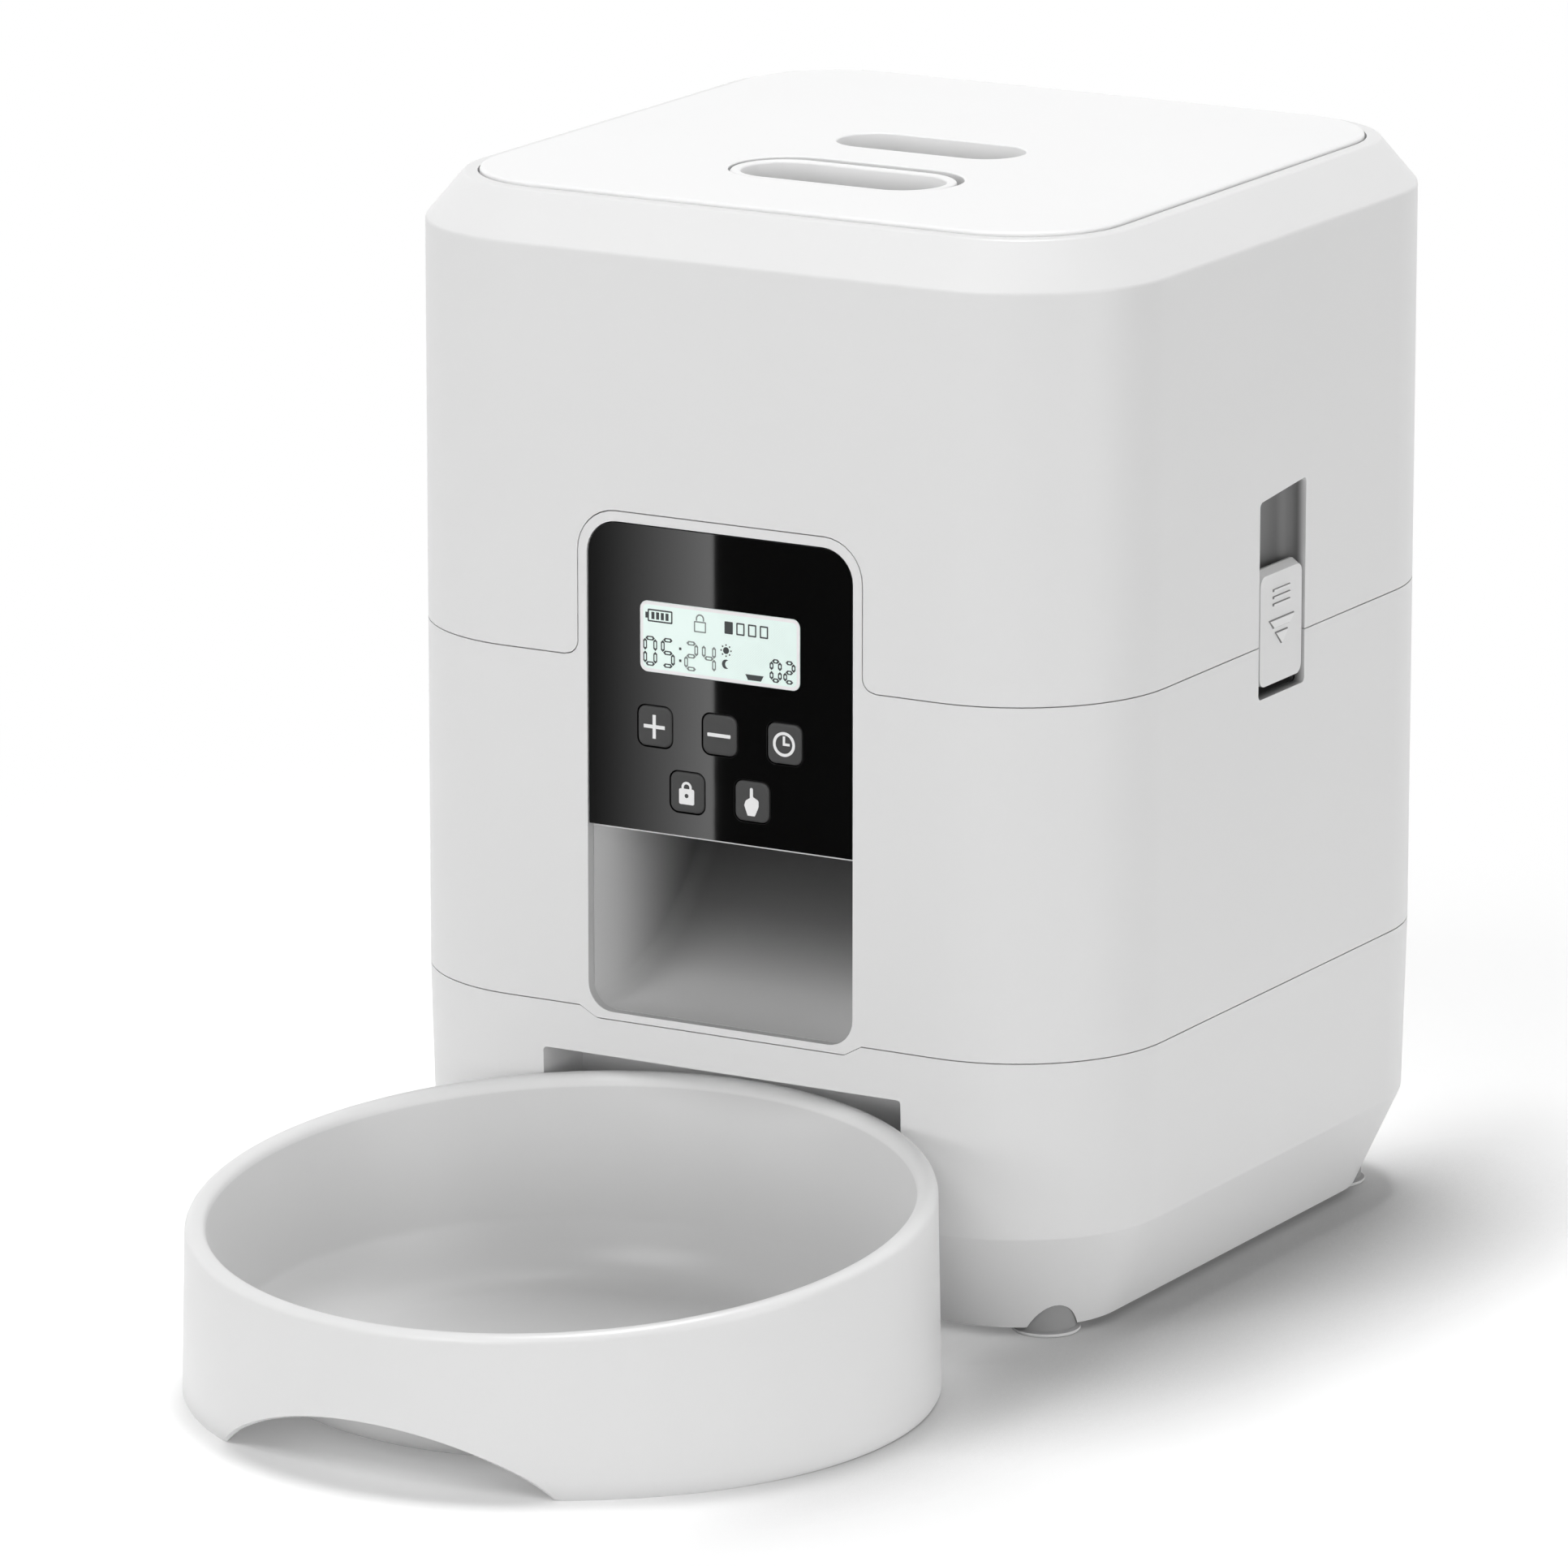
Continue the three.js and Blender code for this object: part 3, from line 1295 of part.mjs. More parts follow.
// Bowl: a turned section whose upper part leans so that the rim slopes down to the front.
function bowlSection() {
  const skirtTop = bowlRimHeight - bowlRimWidth / 2;
  const rimMiddle = bowlRimRadius - bowlRimWidth / 2;
  const wallUnder = bowlRimRadius - bowlRimWidth;
  const points = [[0, bowlFloorTop], [bowlFloorRadius, bowlFloorTop], [bowlWallFootRadius, bowlWallFoot],
    [wallUnder, skirtTop]];
  for (let step = 1; step < curveSteps; step += 1) {
    const angle = Math.PI * (1 - step / curveSteps);
    points.push([rimMiddle + bowlRimWidth / 2 * Math.cos(angle),
      skirtTop + bowlRimWidth / 2 * Math.sin(angle)]);
  }
  points.push([bowlRimRadius, skirtTop], [bowlFootRadius, 0], [bowlFootRadius - bowlSkirt, 0],
    [bowlRimRadius - bowlSkirt, skirtTop - bowlSkirt],
    [bowlWallFootRadius + bowlSkirt, bowlWallFoot - bowlFloorThickness / 2],
    [bowlFloorRadius + bowlFloorThickness / 2, bowlFloorTop - bowlFloorThickness],
    [0, bowlFloorTop - bowlFloorThickness]);
  return points;
}

function bowl() {
  const profile = bowlSection().map(([radius, z]) => new THREE.Vector2(radius, z));
  const turned = new THREE.LatheGeometry(profile, roundSteps * 2);
  turned.rotateX(Math.PI / 2);
  const position = turned.getAttribute('position');
  for (let i = 0; i < position.count; i += 1) {
    const y = position.getY(i);
    const z = position.getZ(i);
    const lean = Math.max(0, (z - bowlFloorTop) / (bowlRimHeight - bowlFloorTop));
    position.setXYZ(i, position.getX(i), y + bowlY, z + lean * bowlRimSlope * y);
  }
  const archRadius = (bowlArchHalfChord ** 2 + bowlArchHeight ** 2) / (2 * bowlArchHeight);
  const skirtInner = bowlRimRadius - bowlSkirt * 2;
  const arch = rod(
    archRadius, 0, bowlArchHeight - archRadius, bowlY - bowlFootRadius - overrun, bowlY, roundSteps * 2,
  ).subtract(post(skirtInner, 0, bowlY, -overrun, bowlRimHeight));
  const notch = boxSolid(
    -tongueHalfWidth - bowlNotchGap, tongueHalfWidth + bowlNotchGap,
    bowlY + bowlWallFootRadius + bowlSkirt, bowlY + bowlFootRadius + overrun, -overrun, bowlNotchHeight,
  );
  return cut(solid(turned), [arch, notch]);
}

addPart('bowl', bowl(), white);

// The origin is under the middle of the whole object.
const middle = new THREE.Box3().setFromObject(feeder).getCenter(new THREE.Vector3());
feeder.position.y = -middle.y;

export default feeder;
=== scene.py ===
"""Looks of the pet feeder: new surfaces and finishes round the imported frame.

All sizes are in millimetres. Heights are above the floor, depths are from the middle of the body, and
to_row() turns such points into the row frame in metres.
"""

import math

import bmesh
import bpy
import numpy as np
from mathutils import Matrix, Vector


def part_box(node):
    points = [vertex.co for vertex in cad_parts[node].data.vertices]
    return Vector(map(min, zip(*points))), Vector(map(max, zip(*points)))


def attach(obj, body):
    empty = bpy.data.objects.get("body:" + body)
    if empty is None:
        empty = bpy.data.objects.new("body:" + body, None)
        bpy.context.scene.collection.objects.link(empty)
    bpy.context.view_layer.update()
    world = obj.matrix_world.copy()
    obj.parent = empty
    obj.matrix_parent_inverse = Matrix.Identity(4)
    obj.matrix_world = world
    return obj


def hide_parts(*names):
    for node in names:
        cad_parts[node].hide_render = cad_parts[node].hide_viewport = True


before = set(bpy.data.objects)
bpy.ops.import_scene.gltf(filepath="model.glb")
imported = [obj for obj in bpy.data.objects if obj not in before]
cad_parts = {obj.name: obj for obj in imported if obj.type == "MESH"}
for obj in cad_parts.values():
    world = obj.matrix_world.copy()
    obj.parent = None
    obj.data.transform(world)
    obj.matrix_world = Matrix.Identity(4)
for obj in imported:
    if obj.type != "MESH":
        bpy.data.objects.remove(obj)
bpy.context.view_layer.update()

MM = 0.001
body_low, body_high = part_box("base_shell")
BODY_SHIFT = np.array([0.0, (body_low[1] + body_high[1]) / 2, 0.0])

# Body, shared with the frame
BODY_HALF_WIDTH = 95.0
BODY_HALF_DEPTH = 96.0
CORNER_RADIUS = 38.0
LOWER_SEAM = 68.0
UPPER_SEAM = 151.3
SEAM_GAP = 0.26
WALL = 2.5
CORNER_STEPS = 24
ROUND_STEPS = 8
EDGE_SOFTNESS = 0.2
EDGE_STEPS = 3
OVERRUN = 1.0
EDGE_ANGLE = 32.0
CREASE_ANGLE = 35.0
CURVE_CREASE = 40.0
FLAT_ANGLE = 0.5
MERGE_REACH = 1e-7
NODE_MERGE_REACH = 1e-6
INNER_SOFTNESS = 0.25

# Finishes, with grain and patches in the renderer's own scales
WEAR_SCALE = 180.0
GRAIN_DEPTH = 0.0001
MASK_EDGE = 0.05
MASK_MARGIN = 0.2
DOT_PITCH = 0.62
DOT_CREST = (0.7, 0.95)
DOT_PATCH = (0.45, 0.55)
DOT_PATCH_SCALE = 130.0
DOT_STRENGTH = 0.5
CELL_BAND = (-6.0, 2.0)
TRACK_SCALE = 400.0
TRACK_LINE = 0.04
TRACK_STRENGTH = 0.7

# Base casing
BASE_BOTTOM = 2.0
BASE_BOTTOM_INSET = 11.9
TAPER_TOP = 26.0
TAPER_TOP_INSET = 1.0
TAPER_ROUNDING = 1.6
BAY_HALF_WIDTH = 47.7
BAY_TOP = 56.6
BAY_BACK = -78.0
BAY_RADIUS = 1.0
INLET_X = 52.0
INLET_Z = 32.0
INLET_RADIUS = 6.3
INLET_FACE_RADIUS = 8.3
INLET_FACE = 93.8
FOOT_X = 73.0
FOOT_Y = 72.0
FOOT_RADIUS = 8.0
FOOT_NECK = 7.1
FOOT_POCKET_TOP = 10.0
FOOT_BELT = 11.0
FOOT_GAP = 0.3
FOOT_BOSS = 2.0
FOOT_RIM_TOP = 0.9
FOOT_CROWN = 0.4
FOOT_STEPS = 72
# Radius and height along the foot's section, from the middle of its sole to its neck
FOOT_SECTION = ((0.0, 0.3), (5.6, 0.3), (6.8, 0.0), (7.7, 0.1), (FOOT_RADIUS, 0.45), (FOOT_RADIUS, 0.75),
                (7.85, 1.0), (FOOT_NECK, 1.4))

# Seam dip under the chute
DIP_DEPTH = 2.5
DIP_TOP_HALF_WIDTH = 37.5
DIP_BOTTOM_HALF_WIDTH = 33.0
DIP_ROUNDING = 2.0

# Control tower and front opening
TOWER_HALF_WIDTH = 37.5
TOWER_TOP = 186.3
TOWER_RADIUS = 10.0
TOWER_BACK = -78.4
TOWER_FOOT_RADIUS = 3.5
MOUTH_EDGE = 0.3
OPENING_HALF_WIDTH = 35.2
OPENING_TOP = 184.0
OPENING_BOTTOM = 67.4
OPENING_TOP_RADIUS = 8.0
OPENING_BOTTOM_RADIUS = 6.5

# Side lock pockets and sliders
POCKET_HALF_WIDTH = 11.5
POCKET_BOTTOM = 138.7
POCKET_TOP = 186.5
POCKET_CLIMB = 1.1
POCKET_DEPTH = 6.0
POCKET_RADIUS = 1.2
POCKET_WALL = 2.0
POCKET_CURVE = 4.0
POCKET_SHADE_DEPTH = 2.5
TRAY_FRONT = 92.2
SLIDER_HALF_WIDTH = 10.4
SLIDER_BOTTOM = 141.3
SLIDER_TOP = 168.8
SLIDER_RADIUS = 2.4
SLIDER_BACK_INSET = 3.0
SLIDER_LIP_HEIGHT = 1.3
SLIDER_LIP_DEPTH = 1.8
TAB_HALF_WIDTH = 3.0
TAB_HEAD_HALF_WIDTH = 5.5
TAB_BOTTOM = 157.0
TAB_TOP = 163.0
TAB_REACH = 4.1
TAB_HEAD = 1.5
TAB_RADIUS = 0.3
SLIDER_SOFTNESS = 0.22
MARK_RISE = 0.45
MARK_SLOPE = 0.3
ARROW_TOP = 156.6
ARROW_GROOVE_TOP = 154.3
ARROW_GROOVE_BOTTOM = 153.4
ARROW_TIP = 150.1
ARROW_HALF_WIDTH = 6.3
RIB_HALF_WIDTH = 4.4
RIB_HEIGHT = 0.7
RIB_PLACES = (160.0, 161.7, 163.4)

# Hopper rim
CHAMFER_BOTTOM = 246.3
CHAMFER_INSET = 9.0
CHAMFER_ROUNDING = 1.6
RIM_ROUNDING = 1.2
RIM_TOP = 257.0
RIM_LAND = 3.2
LEDGE_TOP = 255.0
NECK_INSET = 15.0
NECK_BOTTOM = 241.0
NECK_WALL = 2.2

# Lid, rim and latch
LID_INSET = 12.7
LID_BOTTOM = 255.3
LID_TOP = 258.0
LID_EDGE = 0.8
LID_SOFTNESS = 0.45
SKIRT_INSET = 15.9
SKIRT_WALL = 2.5
SKIRT_BOTTOM = 243.3
GROOVE_BOTTOM = 250.1
GROOVE_TOP = 253.1
GROOVE_DEPTH = 1.3
COLLAR = 2.0
COLLAR_BOTTOM = 245.7
# Depths below the lid's top over which the painted shade in the latch well grows
WELL_SHADE = (0.6, 7.0)
SLOT_HALF_WIDTH = 29.2
SLOT_HALF_DEPTH = 14.6
SLOT_Y = -37.7
REAR_HALF_WIDTH = 24.0
REAR_HALF_DEPTH = 9.5
REAR_Y = 2.6
REAR_DEPTH = 9.0
REAR_CURVE = 4.0
LATCH_HALF_WIDTH = 28.3
LATCH_HALF_DEPTH = 12.9
LATCH_Y = -39.0
LATCH_DROP = 0.2
LATCH_WALL = 2.5
LATCH_DEPTH = 9.4
LATCH_FLOOR = 2.0
LATCH_RIM = 0.7
LATCH_CURVE = 4.0
LATCH_FOOT = 1.0
BOLT_HALF_WIDTH = 5.0
BOLT_RADIUS = 0.4
BOLT_BOTTOM = 245.8
BOLT_TOP = 248.2
BOLT_GAP = 0.5
BOLT_TIP = -78.3
DESICCANT_Y = 46.0
DESICCANT_RADIUS = 22.0
DESICCANT_RING = 2.0
DESICCANT_RING_DEPTH = 5.0
CLEARANCE = 0.3

# Bowl
BOWL_Y = -166.7
BOWL_FOOT_RADIUS = 85.9
BOWL_RIM_RADIUS = 85.0
BOWL_RIM_WIDTH = 4.8
BOWL_RIM_HEIGHT = 44.3
BOWL_SLOPE = 0.095
BOWL_SKIRT = 2.2
BOWL_FLOOR = 4.5
BOWL_FLOOR_RADIUS = 68.0
BOWL_FLOOR_ROUNDING = 14.0
BOWL_WALL_FOOT = (73.6, 16.5)
BOWL_WALL_ROUNDING = 10.0
BOWL_UNDERSIDE = 2.0
BOWL_UNDERSIDE_RADIUS = 69.6
BOWL_UNDERSIDE_ROUNDING = 16.5
BOWL_UNDERSIDE_FOOT = (75.4, 14.75)
BOWL_LIP = 0.6
BOWL_FOOT_ROUNDING = 1.0
BOWL_SKIRT_ROWS = 14
BOWL_ARCH_HALF_CHORD = 43.0
BOWL_ARCH_HEIGHT = 17.0
BOWL_ARCH_BLEND = 30.0
BOWL_NOTCH_HALF_WIDTH = 19.0
BOWL_NOTCH_HEIGHT = 5.0
BOWL_STEPS = 240
BOWL_CREASE = 42.0

# Chute
CHUTE_MOUTH = -93.2
CHUTE_RADIUS = 60.0
CHUTE_ANGLE = 70.0
CHUTE_TOP = 147.2
CHUTE_BACK = -22.0
CHUTE_FRONT = -54.0
CHUTE_ROOF = 109.2
CHUTE_ROOF_BACK = -75.0
CHUTE_WALL = 2.0
CHUTE_ROUNDING = 4.0
CHUTE_ROOF_RADIUS = 0.5
CHUTE_LIP_DEPTH = 9.0
CHUTE_LIP_RISE = 1.6
# Depths between which the chute's painted shade grows
CHUTE_DARK_FROM = -89.0
CHUTE_DARK_TO = -36.0
CHUTE_RAMP_STEPS = 28

# Panel, keys and display
PANEL_FRONT = -95.7
PANEL_THICKNESS = 2.1
PANEL_BOTTOM = 111.5
PANEL_SOFTNESS = 0.16
WINDOW_GAP = 0.02
WINDOW_FIT = 0.05
WINDOW_SOFTNESS = 0.1
KEY_HALF_WIDTH = 4.5
KEY_HALF_HEIGHT = 4.75
KEY_RADIUS = 2.0
KEY_PROUD = 0.35
KEY_PITCH = 17.2
KEY_UPPER_ROW = 136.8
KEY_LOWER_ROW = 122.2
KEY_CAP_DEPTH = 4.4
KEY_FLANGE = 1.0
KEY_CREASE = 50.0
# Inset and depth along the rounded front edge of a key
KEY_ROUNDING = ((1.1, 0.0), (0.6, 0.06), (0.25, 0.2), (0.06, 0.42), (0.0, 0.75))
DISPLAY_HALF_WIDTH = 21.2
DISPLAY_BOTTOM = 149.5
DISPLAY_TOP = 166.3
DISPLAY_RADIUS = 2.0
DISPLAY_BORDER = 0.9
DISPLAY_SETBACK = 0.02
DISPLAY_DEPTH = 5.0
INK_RISE = 0.03

# Signs on the keys: sizes are widths and heights, and points are from the key's middle
SYMBOL_RISE = 0.08
STROKE = 0.85
PLUS_ARM = 2.8
MINUS_WIDTH = 6.1
MINUS_ROUNDING = 0.2
CLOCK_RADIUS = 2.9
CLOCK_RIM = 0.7
CLOCK_HANDS = (1.5, 1.9)
CLOCK_HAND_HALF = 0.3
LOCK_BODY = (4.0, 3.7)
LOCK_BODY_DROP = 0.9
LOCK_ROUNDING = 0.4
LOCK_BOW_RISE = 1.3
LOCK_BOW_RADIUS = 1.35
LOCK_BOW_LINE = 0.6
LOCK_BOW_LEG = 0.35
KEYHOLE_DROP = 0.7
KEYHOLE_RADIUS = 0.5
BOW_STEPS = 16
HAND_POINTS = ((-0.4, 3.3), (0.4, 3.3), (0.4, 1.2), (1.9, 0.5), (1.9, -1.0), (0.9, -3.3), (-1.0, -3.3),
               (-1.9, -0.9), (-1.5, 0.2), (-0.4, 0.9))
HAND_RADII = (0.35, 0.35, 0.3, 0.7, 0.7, 0.2, 0.2, 0.7, 0.5, 0.2)

# Marks on the display: places are from the window's left edge and from its top
INK_LINE = 0.35
MARK_ROUNDING = 0.2
BOX_ROUNDING = 0.1
BORDER_FIT = 0.1
BATTERY = (6.6, 3.0)
BATTERY_PLACE = (5.4, 3.4)
BATTERY_ROUNDING = 0.3
BATTERY_TIP = (0.6, 1.4)
BATTERY_TIP_PLACE = (1.8, 3.4)
BATTERY_BAR = (0.8, 1.7)
BATTERY_BAR_PLACE = (3.5, 3.4)
BATTERY_BAR_PITCH = 1.25
MEAL = (2.2, 2.9)
MEAL_PLACE = (23.6, 4.0)
MEAL_PITCH = 3.1
SUN_PLACE = (22.9, 9.4)
SUN_RADIUS = 0.8
SUN_REACH = 1.3
SUN_RAY = (0.35, 0.35)
MOON_PLACE = (22.9, 12.6)
MOON_RADIUS = 1.1
MOON_TURN = (60, 300)
MOON_SHADE_PLACE = (23.6, 12.6)
MOON_SHADE_RADIUS = 0.96
MOON_SHADE_TURN = (262, 98)
DISH_PLACE = (30.4, 14.9)
DISH_POINTS = ((-2.4, 0.6), (-1.7, -0.7), (1.7, -0.7), (2.4, 0.6))
PADLOCK = (3.2, 2.6)
PADLOCK_PLACE = (16.0, 4.7)
PADLOCK_LINE = 0.3
PADLOCK_BOW_PLACE = (16.0, 2.8)
PADLOCK_BOW_RADIUS = 1.1
PADLOCK_BOW_LEG = 0.5
DIGIT_LINE = 0.56
DIGIT_STROKE = 1.0
DIGIT_GAP = 0.1
CLOCK_DIGIT = (3.7, 7.0)
CLOCK_DIGIT_TOP = 8.3
CLOCK_DARK = (("0", 0.9), ("5", 5.6))
CLOCK_PALE = (("2", 11.8), ("4", 16.5))
COLON_DOT = (0.6, 0.6)
COLON_LEFT = 10.75
COLON_TOPS = (10.4, 13.2)
COUNT_DIGIT = (3.2, 5.5)
COUNT_DIGIT_TOP = 9.9
COUNT_DARK = (("0", 34.4), ("2", 38.0))

# Camera of the photograph
AZIMUTH = 29.988
ELEVATION = 13.882
DISTANCE = 2589.04
TARGET = np.array([-38.241, 0.0, 100.342])
LENS = 248.84
CAMERA_REACH = 100.0

# Studio, in metres and watts, with the cards in millimetres from the middle of the body
FLOOR_REACH = 12.0
FLOOR_TONE = 0.9
FLOOR_SEEN = 1.0
FLOOR_FAR = (0.22, 0.6)
FLOOR_GLOW = 0.2
# Painted shadow on the floor: its reach, its strength and the side where it lies
PAINTED_SHADOW_DISTANCE = 0.09
PAINTED_SHADOW_POWER = 1.4
PAINTED_SHADOW_SIDE = (0.05, 0.1)
SKY_BRIGHT = 2.25
SKY_DIM = 0.05
SKY_BRIGHT_TO = 5.0
SKY_DIM_FROM = 25.0
LAMP_AIM = (0.0, 0.0, 0.1)
KEY_LAMP_PLACE = (-0.1, 0.34, 2.2)
KEY_LAMP_SIZE = (0.6, 0.6)
KEY_LAMP_POWER = 25.0
FRONT_LAMP_PLACE = (-0.25, -1.35, 1.5)
FRONT_LAMP_SIZE = (0.9, 0.9)
FRONT_LAMP_POWER = 9.5
FILL_LAMP_PLACE = (2.4, -0.55, 0.5)
FILL_LAMP_SIZE = (1.2, 1.2)
FILL_LAMP_POWER = 5.6
CARD_Y = -330.0
CARD_LEFT = -186.0
CARD_RIGHT = -92.0
CARD_HEIGHTS = (32.0, 134.0)
CARD_GLOW_FROM = -176.3
CARD_GLOW_TO = -138.8
CARD_GLOW = 2.9
CARD_GLOW_LOW = 0.17
CARD_GLOW_POWER = 1.4
# Azimuth, distance, half width, lowest and highest point, glow
STRIP_CARD = (80.0, 1200.0, 190.0, 0.0, 900.0, 2.4)
SHADE_CARD = (117.0, 1300.0, 300.0, 0.0, 900.0, 0.0)


def to_row(points):
    """Millimetres from the middle of the body to metres in the row frame."""
    return np.asarray(points, float) * MM + BODY_SHIFT


def grid_faces(rows, columns, close_rows=False, close_columns=False):
    """Quads between neighbouring points of a grid whose rows and columns may close on themselves."""
    row = np.arange(rows if close_rows else rows - 1)
    column = np.arange(columns if close_columns else columns - 1)
    i, j = np.meshgrid(row, column, indexing="ij")
    i, j = i.ravel(), j.ravel()
    next_i, next_j = (i + 1) % rows, (j + 1) % columns
    corners = ((i, j), (i, next_j), (next_i, next_j), (next_i, j))
    return np.column_stack([at_row * columns + at_column for at_row, at_column in corners])


def new_piece(name, points, faces):
    """A mesh object from points in millimetres and a list of faces, with its faces turned outwards."""
    mesh = bpy.data.meshes.new(name)
    mesh.from_pydata(to_row(points).tolist(), [], [list(map(int, face)) for face in faces])
    piece = linked(name, mesh)
    turn_outwards(piece)
    return piece


def linked(name, data):
    """A new object in the scene."""
    made = bpy.data.objects.new(name, data)
    bpy.context.scene.collection.objects.link(made)
    return made


def turn_outwards(piece):
    """Merges doubles and recalculates the normals of a closed mesh."""
    work = bmesh.new()
    work.from_mesh(piece.data)
    bmesh.ops.remove_doubles(work, verts=work.verts, dist=MERGE_REACH)
    bmesh.ops.recalc_face_normals(work, faces=work.faces)
    work.to_mesh(piece.data)
    work.free()


def loft(name, rings, closed=False):
    """Rings of equal length, joined in order. A closed loft is a torus, an open one gets two caps."""
    rings = np.asarray(rings, float)
    count, around = rings.shape[:2]
    faces = grid_faces(count, around, closed, True).tolist()
    if not closed:
        faces.append(list(range(around))[::-1])
        faces.append(list(range((count - 1) * around, count * around)))
    return new_piece(name, rings.reshape(-1, 3), faces)


def prism(name, outline, low, high, axis):
    """An outline carried straight along an axis. Its points are (y, z) for x, (x, z) for y, (x, y) for z."""
    outline = np.asarray(outline, float)
    rings = np.stack([np.insert(outline, axis, level, axis=1) for level in (low, high)])
    return loft(name, rings)


def arc(centre, radius, start, end, steps=ROUND_STEPS):
    """Points of a circular arc, angles in degrees."""
    angle = np.radians(np.linspace(start, end, steps + 1))
    return np.column_stack([centre[0] + radius * np.cos(angle), centre[1] + radius * np.sin(angle)])


def circle(x, z, radius, steps=32):
    return arc((x, z), radius, 0, 360, steps)[:-1]


def disc(name, radius, x, y, low, high, steps=96):
    """An upright cylinder."""
    return prism(name, circle(x, y, radius, steps), low, high, 2)


def rounded_rectangle(x0, x1, y0, y1, radii, steps=ROUND_STEPS):
    """A rectangle with a radius for each corner: right low, right high, left high, left low."""
    right_low, right_high, left_high, left_low = radii
    return np.concatenate([
        arc((x1 - right_low, y0 + right_low), right_low, -90, 0, steps),
        arc((x1 - right_high, y1 - right_high), right_high, 0, 90, steps),
        arc((x0 + left_high, y1 - left_high), left_high, 90, 180, steps),
        arc((x0 + left_low, y0 + left_low), left_low, 180, 270, steps),
    ])


def even_rectangle(x0, x1, y0, y1, radius, steps=ROUND_STEPS):
    return rounded_rectangle(x0, x1, y0, y1, [radius] * 4, steps)


def filleted(points, radii, steps=ROUND_STEPS, closed=False):
    """A polyline with rounded corners: each corner is replaced by an arc tangent to its two sides."""
    points = np.asarray(points, float)
    count = len(points)
    pieces = []
    for i in range(count):
        radius = radii[i]
        if radius == 0 or (not closed and i in (0, count - 1)):
            pieces.append(points[i:i + 1])
            continue
        before, here, after = points[i - 1], points[i], points[(i + 1) % count]
        back = (before - here) / np.linalg.norm(before - here)
        on = (after - here) / np.linalg.norm(after - here)
        inwards = back + on
        if np.allclose(inwards, 0):
            pieces.append(points[i:i + 1])
            continue
        half = math.acos(np.clip(back @ on, -1, 1)) / 2
        centre = here + inwards / np.linalg.norm(inwards) * radius / math.sin(half)
        first = here + back * radius / math.tan(half) - centre
        last = here + on * radius / math.tan(half) - centre
        start = math.atan2(first[1], first[0])
        sweep = (math.atan2(last[1], last[0]) - start + math.pi) % (2 * math.pi) - math.pi
        angle = start + sweep * np.linspace(0, 1, steps + 1)
        pieces.append(centre + radius * np.column_stack([np.cos(angle), np.sin(angle)]))
    return np.concatenate(pieces)


def body_outline(inset, steps=CORNER_STEPS):
    """The body's rounded rectangle from above, moved inwards by inset."""
    half_x, half_y = BODY_HALF_WIDTH - inset, BODY_HALF_DEPTH - inset
    return even_rectangle(-half_x, half_x, -half_y, half_y, CORNER_RADIUS - inset, steps)


def body_loft(name, profile, closed=True):
    """Carries a profile of (inset, height) points round the body's outline."""
    rings = [np.insert(body_outline(inset), 2, height, axis=1) for inset, height in profile]
    return loft(name, rings, closed)


def carve(piece, tools, operation="DIFFERENCE"):
    """Cuts or joins other closed meshes into piece and removes them."""
    for tool in tools:
        modifier = piece.modifiers.new("carve", "BOOLEAN")
        modifier.operation = operation
        modifier.solver = "EXACT"
        modifier.object = tool
    settle(piece)
    for tool in tools:
        bpy.data.objects.remove(tool)
    return piece


def settle(piece):
    """Turns a piece's modifiers into its mesh."""
    bpy.context.view_layer.update()
    evaluated = piece.evaluated_get(bpy.context.evaluated_depsgraph_get())
    mesh = bpy.data.meshes.new_from_object(evaluated)
    piece.modifiers.clear()
    piece.data = mesh
    return piece


def round_edges(piece, width=EDGE_SOFTNESS, angle=EDGE_ANGLE, steps=EDGE_STEPS):
    """Rounds the sharp edges of a piece."""
    bevel = piece.modifiers.new("soft_edges", "BEVEL")
    bevel.limit_method = "ANGLE"
    bevel.angle_limit = math.radians(angle)
    bevel.width = width * MM
    bevel.segments = steps
    bevel.miter_outer = "MITER_ARC"


def soften(piece, width=EDGE_SOFTNESS, angle=EDGE_ANGLE, steps=EDGE_STEPS):
    """Rounds the sharp edges of a piece and shades its flat faces flat."""
    round_edges(piece, width, angle, steps)
    return shade(piece)


def shade(piece):
    """Smooth shading whose normals follow the large faces."""
    piece.data.polygons.foreach_set("use_smooth", np.ones(len(piece.data.polygons), bool))
    weighted = piece.modifiers.new("flat_faces", "WEIGHTED_NORMAL")
    weighted.weight = 80
    weighted.keep_sharp = True
    return piece


def shade_by_angle(piece, angle):
    """Smooth shading, with creases kept where faces meet at more than the angle."""
    piece.data.polygons.foreach_set("use_smooth", np.ones(len(piece.data.polygons), bool))
    piece.data.set_sharp_from_angle(angle=math.radians(angle))
    return piece


def several(name, pieces):
    """Joins closed meshes that don't touch into one piece."""
    work = bmesh.new()
    for part in pieces:
        work.from_mesh(part.data)
        bpy.data.objects.remove(part)
    mesh = bpy.data.meshes.new(name)
    work.to_mesh(mesh)
    work.free()
    return linked(name, mesh)


def dress(piece, body, slot, material, *replaced):
    """Gives a piece its body and material, and hides the nodes that it stands for. The record slot is not
    used.
    """
    piece.data.materials.clear()
    piece.data.materials.append(material)
    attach(piece, body)
    if replaced:
        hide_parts(*replaced)
    return piece


# Materials

def feed(tree, target, value):
    """Puts a plain value, or the result of another node, into a socket."""
    if isinstance(value, bpy.types.NodeSocket):
        tree.links.new(value, target)
    else:
        target.default_value = value


def fed(tree, kind, **values):
    """A new node whose inputs are filled by name."""
    made = tree.nodes.new(kind)
    for name, value in values.items():
        feed(tree, made.inputs[name.replace("_", " ")], value)
    return made


def calculate(tree, operation, *values):
    """The result of a Math node."""
    made = tree.nodes.new("ShaderNodeMath")
    made.operation = operation
    for target, value in zip(made.inputs, values):
        feed(tree, target, value)
    return made.outputs[0]


